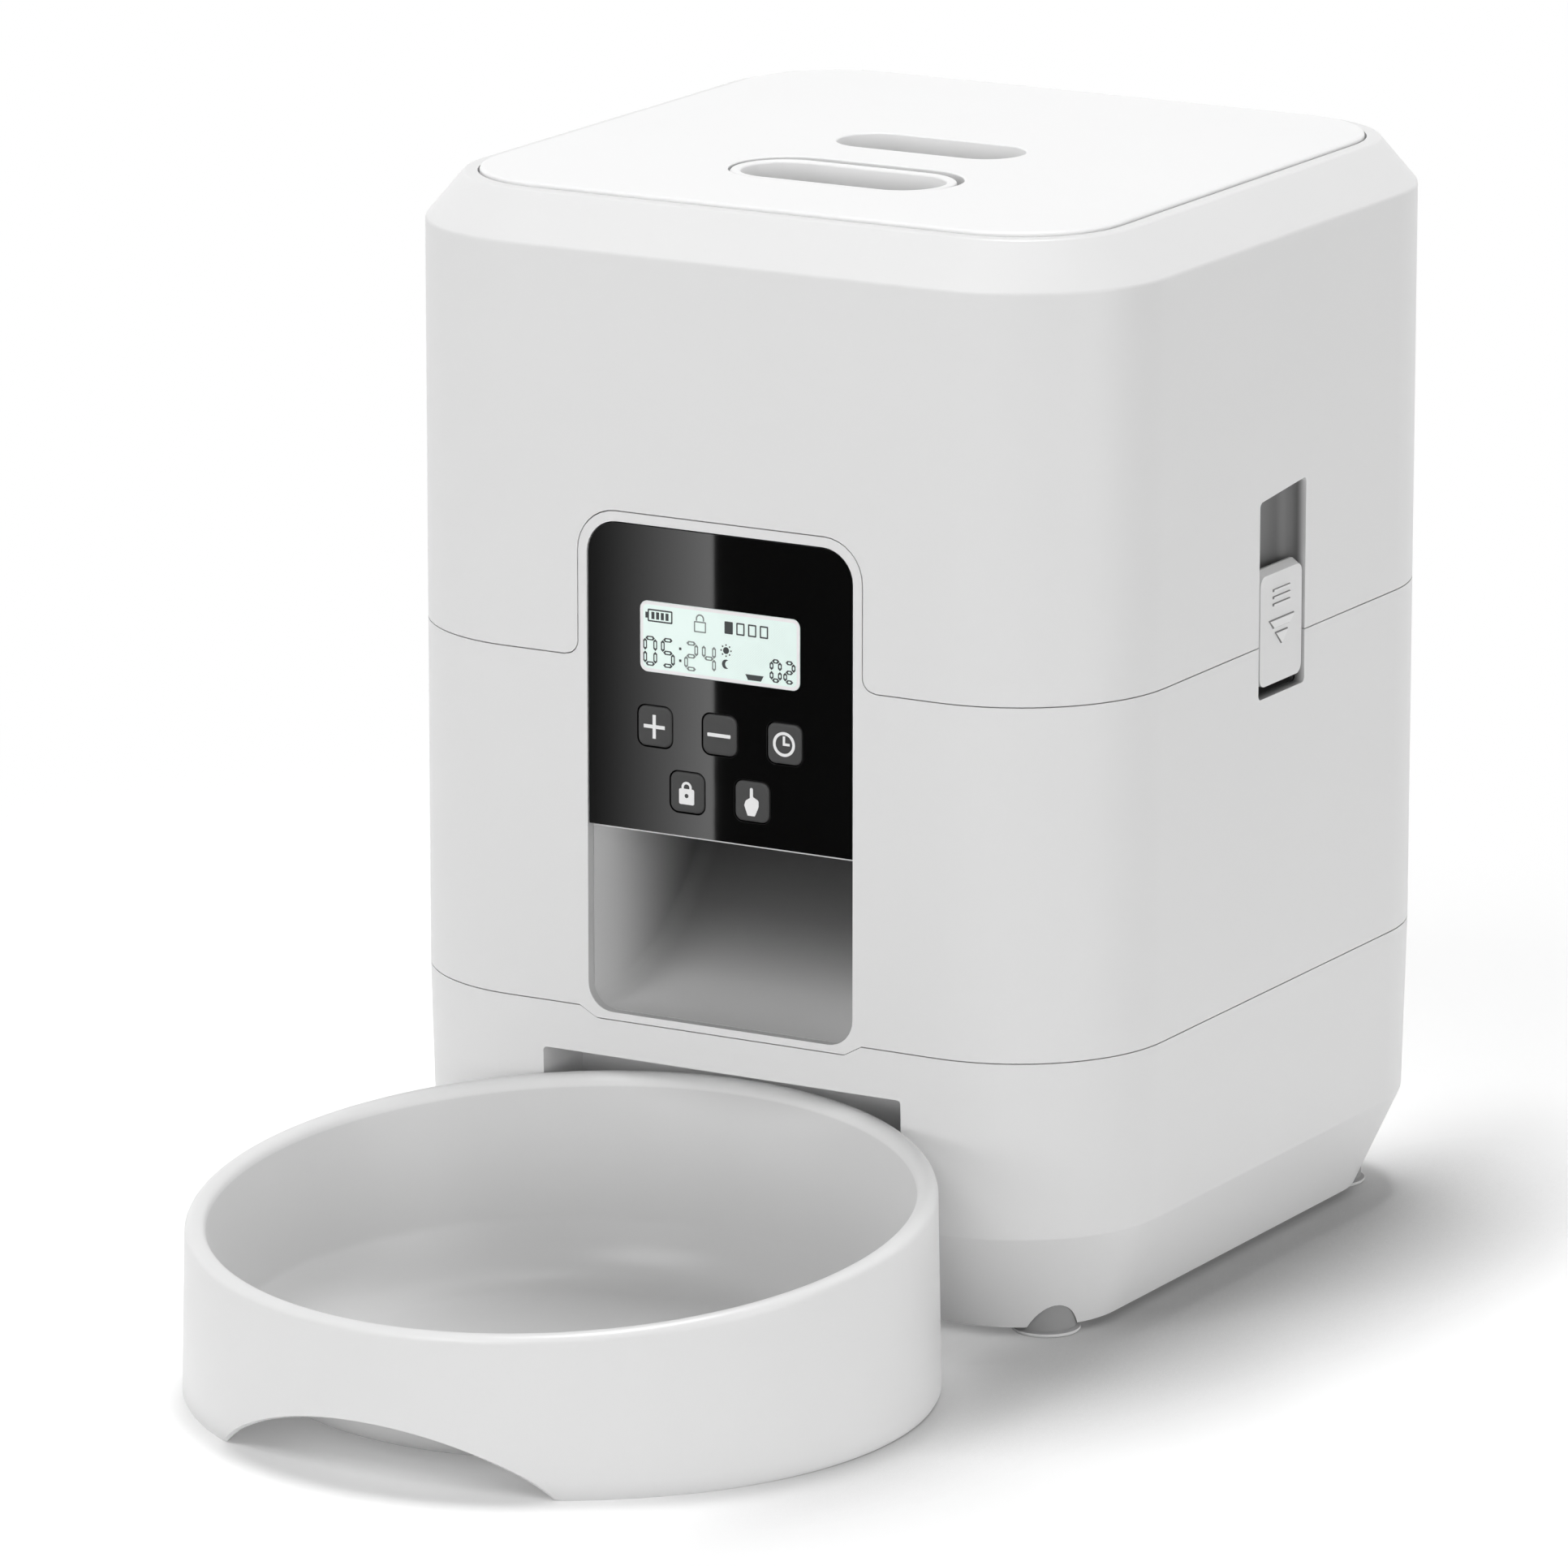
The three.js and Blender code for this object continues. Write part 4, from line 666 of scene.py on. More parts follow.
def times(tree, product, *others):
    """The product of several values."""
    for value in others:
        product = calculate(tree, "MULTIPLY", product, value)
    return product


def ramp(tree, value, start, end, smooth=True, low=0.0, high=1.0):
    """Goes from low to high as a value goes from start to end."""
    made = fed(tree, "ShaderNodeMapRange", Value=value, From_Min=start, From_Max=end, To_Min=low, To_Max=high)
    made.interpolation_type = "SMOOTHSTEP" if smooth else "LINEAR"
    return made.outputs["Result"]


def object_point(tree):
    """A point on the piece, in the row frame."""
    return tree.nodes.new("ShaderNodeTexCoord").outputs["Object"]


def object_axes(tree):
    """The X, Y and Z of a point on the piece, in the row frame."""
    return fed(tree, "ShaderNodeSeparateXYZ", Vector=object_point(tree)).outputs


def noise(tree, scale, detail):
    """Soft patches from 0 to 1."""
    made = fed(tree, "ShaderNodeTexNoise", Vector=object_point(tree), Scale=scale, Detail=detail)
    return made.outputs["Fac"]


def between(tree, value, low, high):
    """1 where a value lies between low and high, with a soft edge, and 0 elsewhere."""
    half = (high - low) / 2
    away = calculate(tree, "ABSOLUTE", calculate(tree, "SUBTRACT", value, low + half))
    return ramp(tree, away, half + MASK_EDGE * MM, half - MASK_EDGE * MM)


def moulded_surface():
    """Shared finish of moulded parts: faint large patches in the colour, finer patches in the roughness, and
    a fine grain in the normal."""
    tree = bpy.data.node_groups.new("moulded_surface", "ShaderNodeTree")
    for way, name, kind in (
        ("INPUT", "Colour", "Color"), ("INPUT", "Colour Variation", "Float"),
        ("INPUT", "Patch Scale", "Float"), ("INPUT", "Roughness", "Float"),
        ("INPUT", "Roughness Variation", "Float"), ("INPUT", "Grain Scale", "Float"),
        ("INPUT", "Grain Height", "Float"),
        ("OUTPUT", "Colour", "Color"), ("OUTPUT", "Roughness", "Float"), ("OUTPUT", "Normal", "Vector"),
    ):
        tree.interface.new_socket(name=name, in_out=way, socket_type="NodeSocket" + kind)
    given = tree.nodes.new("NodeGroupInput").outputs
    result = tree.nodes.new("NodeGroupOutput").inputs

    patches = calculate(tree, "SUBTRACT", noise(tree, given["Patch Scale"], 2), 0.5)
    tint = calculate(tree, "MULTIPLY_ADD", patches, given["Colour Variation"], 1.0)
    tinted = tree.nodes.new("ShaderNodeVectorMath")
    tinted.operation = "SCALE"
    feed(tree, tinted.inputs[0], given["Colour"])
    feed(tree, tinted.inputs["Scale"], tint)
    feed(tree, result["Colour"], tinted.outputs["Vector"])

    wear = calculate(tree, "SUBTRACT", noise(tree, WEAR_SCALE, 3), 0.5)
    rough = calculate(tree, "MULTIPLY_ADD", wear, given["Roughness Variation"], given["Roughness"])
    feed(tree, result["Roughness"], rough)

    grain = noise(tree, given["Grain Scale"], 2)
    bump = fed(tree, "ShaderNodeBump", Distance=GRAIN_DEPTH, Strength=given["Grain Height"], Height=grain)
    feed(tree, result["Normal"], bump.outputs["Normal"])
    return tree


MOULDED = moulded_surface()


def linear(value):
    """A colour as it is seen on screen, turned into the renderer's linear values."""
    channels = np.atleast_1d(np.asarray(value, float)) * np.ones(3)
    low = channels / 12.92
    high = ((channels + 0.055) / 1.055) ** 2.4
    return tuple(np.where(channels <= 0.04045, low, high)) + (1.0,)


def new_material(name):
    """A material with its node tree and the inputs of its principled shader."""
    material = bpy.data.materials.new(name)
    material.use_nodes = True
    return material, material.node_tree, material.node_tree.nodes["Principled BSDF"].inputs


def plastic(name, colour, roughness, variation=0.015, patch=25.0, grain=2500.0, height=0.08,
            rough_variation=0.06, **sockets):
    """A moulded plastic or rubber: the shared surface on a principled shader, with plain values by name."""
    material, tree, shader = new_material(name)
    surface = tree.nodes.new("ShaderNodeGroup")
    surface.node_tree = MOULDED
    for key, value in (
        ("Colour", linear(colour)), ("Colour Variation", variation), ("Patch Scale", patch),
        ("Roughness", roughness), ("Roughness Variation", rough_variation), ("Grain Scale", grain),
        ("Grain Height", height),
    ):
        surface.inputs[key].default_value = value
    for source, target in (("Colour", "Base Color"), ("Roughness", "Roughness"), ("Normal", "Normal")):
        feed(tree, shader[target], surface.outputs[source])
    for key, value in sockets.items():
        shader[key.replace("_", " ")].default_value = value
    return material


def second_colour(material, colour, mask):
    """Lays a second colour over a material where the mask, a function of its node tree, is 1."""
    tree = material.node_tree
    base = tree.nodes["Principled BSDF"].inputs["Base Color"]
    mix = tree.nodes.new("ShaderNodeMix")
    mix.data_type = "RGBA"
    feed(tree, mix.inputs["A"], base.links[0].from_socket)
    feed(tree, mix.inputs["B"], linear(colour))
    feed(tree, mix.inputs["Factor"], mask(tree))
    feed(tree, base, mix.outputs["Result"])
    return material


def pocket_painted_shade(tree):
    """Painted shade inside the side lock pockets, growing with depth: near the middle in Y, between the
    pocket's ends.
    """
    x, y, z = object_axes(tree)
    out = calculate(tree, "ABSOLUTE", x)
    deep = ramp(tree, out, BODY_HALF_WIDTH * MM, (BODY_HALF_WIDTH - POCKET_SHADE_DEPTH) * MM)
    inner = between(tree, out, (BODY_HALF_WIDTH - POCKET_DEPTH - MASK_MARGIN) * MM, BODY_HALF_WIDTH * MM)
    half = (POCKET_HALF_WIDTH + MASK_MARGIN) * MM
    wide = between(tree, y, BODY_SHIFT[1] - half, BODY_SHIFT[1] + half)
    tall = between(tree, z, (POCKET_BOTTOM - MASK_MARGIN) * MM, (POCKET_TOP + MASK_MARGIN) * MM)
    return times(tree, deep, inner, wide, tall)


def mark_sides_painted_shade(tree):
    """Painted shade on the sloped sides of the slider's marks, below their tops."""
    out = calculate(tree, "ABSOLUTE", object_axes(tree)[0])
    face = BODY_HALF_WIDTH - CLEARANCE
    return between(tree, out, (face - MARK_RISE) * MM, (face + MARK_RISE - MASK_EDGE * 2) * MM)


def mouth_painted_shade(tree):
    """Painted shade on the cut edge of the housing's opening under the panel, as dark as the chute behind it.
    """
    x, y, z = object_axes(tree)
    half = (OPENING_HALF_WIDTH + MASK_EDGE * 2) * MM
    low, high = (MOUTH_EDGE - BODY_HALF_DEPTH) * MM, (TOWER_BACK + OVERRUN) * MM
    wide = between(tree, x, -half, half)
    deep = between(tree, y, low + BODY_SHIFT[1], high + BODY_SHIFT[1])
    tall = between(tree, z, (OPENING_BOTTOM - MASK_EDGE * 2) * MM, (PANEL_BOTTOM + OVERRUN) * MM)
    return times(tree, wide, deep, tall)


def latch_well_painted_shade(tree):
    """Painted shade growing downwards in the latch's slot and the rear finger pocket."""
    x, _, z = object_axes(tree)
    half = (SLOT_HALF_WIDTH + COLLAR) * MM
    down = ramp(tree, z, (LID_TOP - WELL_SHADE[0]) * MM, (LID_TOP - WELL_SHADE[1]) * MM)
    return times(tree, between(tree, x, -half, half), down)


def bowl_inside_painted_shade(tree):
    """Painted shade inside the bowl, by the distance from its middle, from the floor up."""
    x, y, z = object_axes(tree)
    flat = fed(tree, "ShaderNodeCombineXYZ", X=x, Y=y)
    away = tree.nodes.new("ShaderNodeVectorMath")
    away.operation = "DISTANCE"
    feed(tree, away.inputs[0], flat.outputs[0])
    feed(tree, away.inputs[1], (0, BOWL_Y * MM + BODY_SHIFT[1], 0))
    reach = (BOWL_RIM_RADIUS - BOWL_RIM_WIDTH) * MM
    within = between(tree, away.outputs["Value"], -reach, reach)
    high = between(tree, z, (BOWL_FLOOR + BOWL_UNDERSIDE) / 2 * MM, BOWL_RIM_HEIGHT * 2 * MM)
    return times(tree, within, high)


def chute_painted_shade_depth(tree):
    """Painted shade in the chute, growing from its mouth to its throat."""
    start, end = CHUTE_DARK_FROM * MM + BODY_SHIFT[1], CHUTE_DARK_TO * MM + BODY_SHIFT[1]
    return ramp(tree, object_axes(tree)[1], start, end)


def dot_mask(tree):
    """Rows of fine dots, where two crossed waves both crest, in patches of the display's right half."""
    x, _, z = object_axes(tree)
    waves = []
    for sign in (1.0, -1.0):
        sloped = calculate(tree, "MULTIPLY_ADD", z, sign, x)
        wave = calculate(tree, "COSINE", times(tree, sloped, math.pi / (DOT_PITCH * MM)))
        waves.append(times(tree, wave, wave))
    crest = ramp(tree, times(tree, *waves), *DOT_CREST, smooth=False)
    patchy = ramp(tree, noise(tree, DOT_PATCH_SCALE, 2), *DOT_PATCH, smooth=False, high=DOT_STRENGTH)
    return times(tree, crest, patchy, between(tree, x, 0.0, DISPLAY_HALF_WIDTH * MM))


def foot_edge_painted_highlight(tree):
    """Painted highlight along the lowest edge of a foot."""
    return between(tree, object_axes(tree)[2], -OVERRUN * MM, FOOT_RIM_TOP * MM)


def wrap_band(tree):
    """The bare band near each end of a cell's wrap."""
    low, high = (level * MM + BODY_SHIFT[1] for level in CELL_BAND)
    return between(tree, object_axes(tree)[1], low, high)


def copper_tracks(tree):
    """Thin lines of a brick pattern, as the tracks of a circuit board."""
    turned = fed(tree, "ShaderNodeMapping", Vector=object_point(tree), Rotation=(math.pi / 2, 0, 0))
    tracks = fed(tree, "ShaderNodeTexBrick", Vector=turned.outputs["Vector"], Scale=TRACK_SCALE,
                 Mortar_Size=TRACK_LINE)
    return times(tree, tracks.outputs["Fac"], TRACK_STRENGTH)


# Painted shade inside the side lock pockets
SHELL_WHITE = second_colour(plastic("shell_white", 0.905, 0.36), 0.47, pocket_painted_shade)
# Painted shade on the cut edge of the opening under the panel
SHELL_WHITE = second_colour(SHELL_WHITE, 0.84, mouth_painted_shade)
SLIDER_WHITE = plastic("slider_white", 0.9, 0.4)
# Painted shade on the sloped sides of the slider's marks
SLIDER_MARKS = second_colour(plastic("slider_marks", 0.93, 0.4), 0.5, mark_sides_painted_shade)
# Painted shade down in the latch's slot and the rear finger pocket
LID_WHITE = second_colour(plastic("lid_white", 0.955, 0.38), 0.8, latch_well_painted_shade)
# Painted shade inside the bowl
BOWL_WHITE = second_colour(plastic("bowl_white", 0.92, 0.33), 0.86, bowl_inside_painted_shade)
INNER_WHITE = plastic("inner_white", 0.86, 0.5)
# The chute is white plastic with painted shade that grows with depth
CHUTE_PAINTED_SHADE = second_colour(plastic("chute_white_painted_shade", 0.9, 0.5), 0.3, chute_painted_shade_depth)
PANEL_BLACK = plastic("panel_black", 0.05, 0.03, height=0.0, rough_variation=0.01)
KEY_BLACK = plastic("key_black", 0.235, 0.6, grain=4000.0, height=0.15)
INNER_BLACK = plastic("inner_black", 0.13, 0.6)
# Painted highlight along the foot's lowest edge
FOOT_GREY = second_colour(plastic("foot_grey", 0.6, 0.8, grain=3000.0, height=0.2), 0.86, foot_edge_painted_highlight)
SYMBOL_WHITE = plastic("symbol_white", 0.95, 0.5)
LCD_MINT = plastic("lcd_mint", (0.9, 0.96, 0.94), 0.16, Emission_Color=(0.85, 1.0, 0.95, 1),
                   Emission_Strength=0.13)
LCD_MINT = second_colour(LCD_MINT, 0.62, dot_mask)
LCD_BORDER = plastic("lcd_border", 0.96, 0.3)
LCD_INK = plastic("lcd_ink", (0.22, 0.24, 0.24), 0.4)
LCD_INK_PALE = plastic("lcd_ink_pale", (0.5, 0.53, 0.52), 0.4)
BOARD_GREEN = second_colour(plastic("board_green", (0.12, 0.42, 0.24), 0.4), (0.3, 0.6, 0.36), copper_tracks)
STEEL = plastic("plated_steel", 0.72, 0.3, variation=0.08, patch=160.0, Metallic=1.0)
CELL_WRAP = second_colour(plastic("cell_wrap", (0.2, 0.22, 0.27), 0.35), (0.72, 0.62, 0.4), wrap_band)
GASKET_WHITE = plastic("gasket_white", 0.9, 0.7, grain=1500.0, height=0.2)
SOFT_SILICONE = plastic("soft_silicone", (0.86, 0.85, 0.83), 0.55)
FINISHES = {
    "white_shell": SHELL_WHITE, "inner_white": INNER_WHITE, "black_plastic": INNER_BLACK,
    "board": BOARD_GREEN, "steel_parts": STEEL, "cell_casing": CELL_WRAP, "gasket_rubber": GASKET_WHITE,
    "rotor_soft": SOFT_SILICONE,
}


# Casings

def dip_outline(margin):
    """The trapezium that carries the lower seam down under the chute."""
    top = LOWER_SEAM + margin
    points = [
        (-DIP_TOP_HALF_WIDTH - margin, top + OVERRUN), (-DIP_TOP_HALF_WIDTH - margin, top),
        (-DIP_BOTTOM_HALF_WIDTH - margin, top - DIP_DEPTH), (DIP_BOTTOM_HALF_WIDTH + margin, top - DIP_DEPTH),
        (DIP_TOP_HALF_WIDTH + margin, top), (DIP_TOP_HALF_WIDTH + margin, top + OVERRUN),
    ]
    return filleted(points, [0, 0, DIP_ROUNDING, DIP_ROUNDING, 0, 0], closed=True)


def opening_outline(margin, bottom=OPENING_BOTTOM):
    half = OPENING_HALF_WIDTH - margin
    top = OPENING_TOP_RADIUS - margin
    low = OPENING_BOTTOM_RADIUS - margin if bottom == OPENING_BOTTOM else 0.0
    return rounded_rectangle(-half, half, bottom + margin, OPENING_TOP - margin, [low, top, top, low])


def tower_outline(margin, foot, fillet):
    """The tower from the front, with a fillet at each foot where it meets the upper seam."""
    half = TOWER_HALF_WIDTH + margin
    radius = TOWER_RADIUS + margin
    top = TOWER_TOP + margin
    crown = np.concatenate([
        arc((half - radius, top - radius), radius, 0, 90),
        arc((-half + radius, top - radius), radius, 90, 180),
    ])
    if not fillet:
        return np.concatenate([[(half, foot)], crown, [(-half, foot)]])
    curve = TOWER_FOOT_RADIUS - margin
    seam = UPPER_SEAM + margin
    right = arc((half + curve, seam + curve), curve, 270, 180)
    left = arc((-half - curve, seam + curve), curve, 0, -90)
    return np.concatenate([[(half + curve, foot)], right, crown, left, [(-half - curve, foot)]])


def pocket_outline(margin):
    half = POCKET_HALF_WIDTH + margin
    radius = max(POCKET_RADIUS + margin, EDGE_SOFTNESS)
    outline = even_rectangle(-half, half, POCKET_BOTTOM - margin, POCKET_TOP + margin, radius)
    upper = outline[:, 1] > UPPER_SEAM
    outline[:, 1] += upper * POCKET_CLIMB * outline[:, 0] / POCKET_HALF_WIDTH
    return outline


def pocket_walls(side, low, high, front):
    """The walls of a lock pocket between two heights, from behind its back out to a front."""
    back = side * (BODY_HALF_WIDTH - POCKET_DEPTH - POCKET_WALL)
    walls = prism("walls", pocket_outline(POCKET_WALL), back, side * front, 0)
    half = POCKET_HALF_WIDTH * 2
    limit = prism("limit", even_rectangle(-half, half, low, high, 0.0, 1), 0, side * BODY_HALF_WIDTH * 2, 0)
    return carve(walls, [limit], "INTERSECT")


def pocket_hollow(side):
    """A tub: its floor meets its sides along a quarter circle."""
    floor = BODY_HALF_WIDTH - POCKET_DEPTH
    section = arc((POCKET_CURVE, floor + POCKET_CURVE), POCKET_CURVE, 270, 180)
    section = np.vstack([section, (0, BODY_HALF_WIDTH + OVERRUN)])
    rings = [np.insert(pocket_outline(-inset), 0, side * level, axis=1) for inset, level in section]
    return loft("hollow", rings)


def lock_tray(side):
    """The dark tray behind the housing's wall, which guides the lower end of the slider."""
    tray = pocket_walls(side, 0, UPPER_SEAM - SEAM_GAP, TRAY_FRONT)
    carve(tray, [pocket_hollow(side)])
    soften(tray)
    name = "lock_tray_right" if side > 0 else "lock_tray_left"
    return dress(tray, "base", "black_plastic", INNER_BLACK, name)


def base_casing():
    """A tapered ring with the bowl bay's liner, cut for the bay, the seam dip and the foot pockets."""
    top = LOWER_SEAM - SEAM_GAP / 2
    belt_share = (FOOT_BELT - BASE_BOTTOM) / (TAPER_TOP - BASE_BOTTOM)
    belt = BASE_BOTTOM_INSET + (TAPER_TOP_INSET - BASE_BOTTOM_INSET) * belt_share
    side = [(BASE_BOTTOM_INSET, BASE_BOTTOM), (belt, FOOT_BELT), (TAPER_TOP_INSET, TAPER_TOP), (0, top)]
    outer = filleted(side, [0, 0, TAPER_ROUNDING, 0])
    inner = [(WALL, top), (TAPER_TOP_INSET + WALL, TAPER_TOP), (BASE_BOTTOM_INSET + WALL, BASE_BOTTOM)]
    casing = body_loft("base_casing", [*outer, *inner])
    middle = [(BASE_BOTTOM_INSET + WALL / 2, BASE_BOTTOM), (TAPER_TOP_INSET + WALL / 2, TAPER_TOP),
              (WALL / 2, top - OVERRUN)]
    clip = body_loft("clip", middle, closed=False)
    half = BAY_HALF_WIDTH + POCKET_WALL
    roof = BAY_TOP + POCKET_WALL
    outline = even_rectangle(-half, half, BASE_BOTTOM, roof, BAY_RADIUS + POCKET_WALL)
    liner = prism("liner", outline, -BODY_HALF_DEPTH, BAY_BACK + POCKET_WALL, 1)
    neck = FOOT_NECK + FOOT_GAP
    carve(liner, foot_columns(neck + FOOT_BOSS, BASE_BOTTOM, FOOT_POCKET_TOP + FOOT_BOSS), "UNION")
    carve(liner, [clip], "INTERSECT")
    carve(casing, [liner], "UNION")
    half = BAY_HALF_WIDTH
    front = -BODY_HALF_DEPTH - OVERRUN
    outline = rounded_rectangle(-half, half, BASE_BOTTOM - OVERRUN, BAY_TOP, [0, BAY_RADIUS, BAY_RADIUS, 0])
    bay = prism("bay", outline, front, BAY_BACK, 1)
    dip = prism("dip", dip_outline(-SEAM_GAP / 2), front, -BODY_HALF_DEPTH + WALL + OVERRUN, 1)
    inlet = [prism("inlet", circle(INLET_X, INLET_Z, radius), low, BODY_HALF_DEPTH + OVERRUN, 1)
             for radius, low in ((INLET_RADIUS, INLET_FACE - WALL * 2), (INLET_FACE_RADIUS, INLET_FACE))]
    carve(casing, [bay, dip, *inlet])
    round_edges(casing)
    settle(casing)
    carve(casing, foot_columns(neck, BASE_BOTTOM - OVERRUN, FOOT_POCKET_TOP))
    shade_by_angle(casing, CREASE_ANGLE)
    shade(casing)
    return dress(casing, "base", "white_shell", SHELL_WHITE, "base_shell")


def foot_columns(radius, low, high):
    """An upright cylinder round the middle of each foot."""
    return [disc("column", radius, x, y, low, high, 48) for x in (-FOOT_X, FOOT_X) for y in (-FOOT_Y, FOOT_Y)]


def housing_casing():
    """A straight ring with the control tower and the lock pockets, cut for the front opening."""
    low, high = LOWER_SEAM + SEAM_GAP / 2, UPPER_SEAM - SEAM_GAP / 2
    casing = body_loft("housing_casing", [(0, low), (0, high), (WALL, high), (WALL, low)])
    front = -BODY_HALF_DEPTH
    tower = prism("tower", tower_outline(0, high - WALL * 4, False), front, TOWER_BACK, 1)
    foot = prism("foot", tower_outline(0, high - WALL * 4, True), front, front + WALL, 1)
    dip = prism("dip", dip_outline(SEAM_GAP / 2), front, front + WALL, 1)
    carve(casing, [tower, foot, dip], "UNION")
    opening = prism("opening", opening_outline(0), front - OVERRUN, TOWER_BACK + OVERRUN, 1)
    carve(casing, [opening, pocket_hollow(1), pocket_hollow(-1)])
    soften(casing)
    return dress(casing, "base", "white_shell", SHELL_WHITE, "middle_housing")


def hopper_casing():
    """The hopper's wall with its chamfered rim, ledge and neck, notched over the tower and the pockets."""
    low = UPPER_SEAM + SEAM_GAP / 2
    rim = [(0, low), (0, CHAMFER_BOTTOM), (CHAMFER_INSET, RIM_TOP), (CHAMFER_INSET + RIM_LAND, RIM_TOP)]
    rim = filleted(rim, [0, CHAMFER_ROUNDING, RIM_ROUNDING, 0])
    inner = [
        (CHAMFER_INSET + RIM_LAND, LEDGE_TOP), (NECK_INSET, LEDGE_TOP), (NECK_INSET, NECK_BOTTOM),
        (NECK_INSET - NECK_WALL, NECK_BOTTOM), (NECK_INSET - NECK_WALL, LEDGE_TOP - WALL),
        (CHAMFER_INSET, LEDGE_TOP - WALL), (WALL, CHAMFER_BOTTOM - WALL / 2), (WALL, low),
    ]
    casing = body_loft("hopper_casing", [*rim, *inner])
    outside = BODY_HALF_WIDTH - WALL / 2
    carve(casing, [pocket_walls(side, low, POCKET_TOP * 2, outside) for side in (1, -1)], "UNION")
    notch = prism("notch", tower_outline(SEAM_GAP, low - OVERRUN, True), -BODY_HALF_DEPTH - OVERRUN,
                  -BODY_HALF_DEPTH + WALL + OVERRUN, 1)
    carve(casing, [notch, pocket_hollow(1), pocket_hollow(-1)])
    soften(casing)
    return dress(casing, "hopper", "white_shell", SHELL_WHITE, "hopper_shell")


base_casing()
housing_casing()
lock_tray(1)
lock_tray(-1)
hopper_casing()


# Lid and latch

def pill(half_width, half_depth, y, steps=24):
    return even_rectangle(-half_width, half_width, y - half_depth, y + half_depth, half_depth, steps)


def pill_loft(name, profile, y, half_width, half_depth, closed=False):
    """Carries a profile of (inset, height) points round a pill seen from above."""
    rings = [np.insert(pill(half_width - inset, half_depth - inset, y), 2, height, axis=1)
             for inset, height in profile]
    return loft(name, rings, closed)


def slot_loft(name, profile):
    """A profile round the latch's slot."""
    return pill_loft(name, profile, SLOT_Y, SLOT_HALF_WIDTH, SLOT_HALF_DEPTH)


def rear_loft(name, profile):
    """A profile round the rear finger pocket."""
    return pill_loft(name, profile, REAR_Y, REAR_HALF_WIDTH, REAR_HALF_DEPTH)


def lid_piece():
    """The lid's plate with its skirt, the latch slot and the rear finger pocket."""
    edge = arc((LID_INSET + LID_EDGE, LID_TOP - LID_EDGE), LID_EDGE, 180, 90, 6)
    lid = body_loft("lid_plate", [(LID_INSET, LID_BOTTOM), *edge], closed=False)
    under = LID_BOTTOM + EDGE_SOFTNESS
    groove = SKIRT_INSET + GROOVE_DEPTH
    inner = SKIRT_INSET + SKIRT_WALL
    skirt = body_loft("skirt", [
        (SKIRT_INSET, under), (SKIRT_INSET, GROOVE_TOP), (groove, GROOVE_TOP), (groove, GROOVE_BOTTOM),
        (SKIRT_INSET, GROOVE_BOTTOM), (SKIRT_INSET, SKIRT_BOTTOM), (inner, SKIRT_BOTTOM), (inner, under),
    ])
    low = LID_TOP - REAR_DEPTH
    collar = slot_loft("collar", [(-COLLAR, COLLAR_BOTTOM), (-COLLAR, under)])
    rear = rear_loft("rear", [(-COLLAR, low - COLLAR), (-COLLAR, under)])
    radius = DESICCANT_RADIUS + CLEARANCE
    foot = LID_BOTTOM - DESICCANT_RING_DEPTH
    ring = disc("ring", radius + DESICCANT_RING, 0, DESICCANT_Y, foot, under)
    carve(lid, [skirt, collar, rear, ring], "UNION")
    slot = slot_loft("slot", [(0, COLLAR_BOTTOM - OVERRUN), (0, LID_TOP + OVERRUN)])
    bottom = arc((REAR_CURVE, low + REAR_CURVE), REAR_CURVE, 270, 180, 8)
    hollow = rear_loft("hollow", [*bottom, (0, LID_TOP + OVERRUN)])
    ring_hollow = disc("ring_hollow", radius, 0, DESICCANT_Y, foot - OVERRUN, LID_BOTTOM)
    half = BOLT_HALF_WIDTH + BOLT_GAP
    outline = even_rectangle(-half, half, BOLT_BOTTOM - BOLT_GAP, BOLT_TOP + BOLT_GAP, 0, 1)
    bolt_slot = prism("bolt_slot", outline, -BODY_HALF_DEPTH, LATCH_Y, 1)
    carve(lid, [slot, hollow, ring_hollow, bolt_slot])
    soften(lid, LID_SOFTNESS)
    return dress(lid, "lid", "white_shell", LID_WHITE, "lid")


def latch_piece():
    """The latch's finger cup with a rounded rim and floor, and its bolt towards the front."""
    top = LID_TOP - LATCH_DROP
    floor = top - LATCH_DEPTH
    under = floor - LATCH_FLOOR
    rim, curve = LATCH_RIM, LATCH_CURVE
    profile = [
        (LATCH_FOOT, under), (0, under + LATCH_FOOT), *arc((rim, top - rim), rim, 180, 90, 6),
        *arc((LATCH_WALL - rim, top - rim), rim, 90, 0, 6),
        *arc((LATCH_WALL + curve, floor + curve), curve, 180, 270, 10),
    ]
    cup = pill_loft("lid_latch_piece", profile, LATCH_Y, LATCH_HALF_WIDTH, LATCH_HALF_DEPTH)
    outline = even_rectangle(-BOLT_HALF_WIDTH, BOLT_HALF_WIDTH, BOLT_BOTTOM, BOLT_TOP, BOLT_RADIUS, 4)
    bolt = prism("bolt", outline, BOLT_TIP, LATCH_Y - LATCH_HALF_DEPTH + OVERRUN, 1)
    carve(cup, [bolt], "UNION")
    shade_by_angle(cup, CURVE_CREASE)
    return dress(cup, "lid_latch", "white_shell", LID_WHITE, "lid_latch")


lid_piece()
latch_piece()


# Bowl

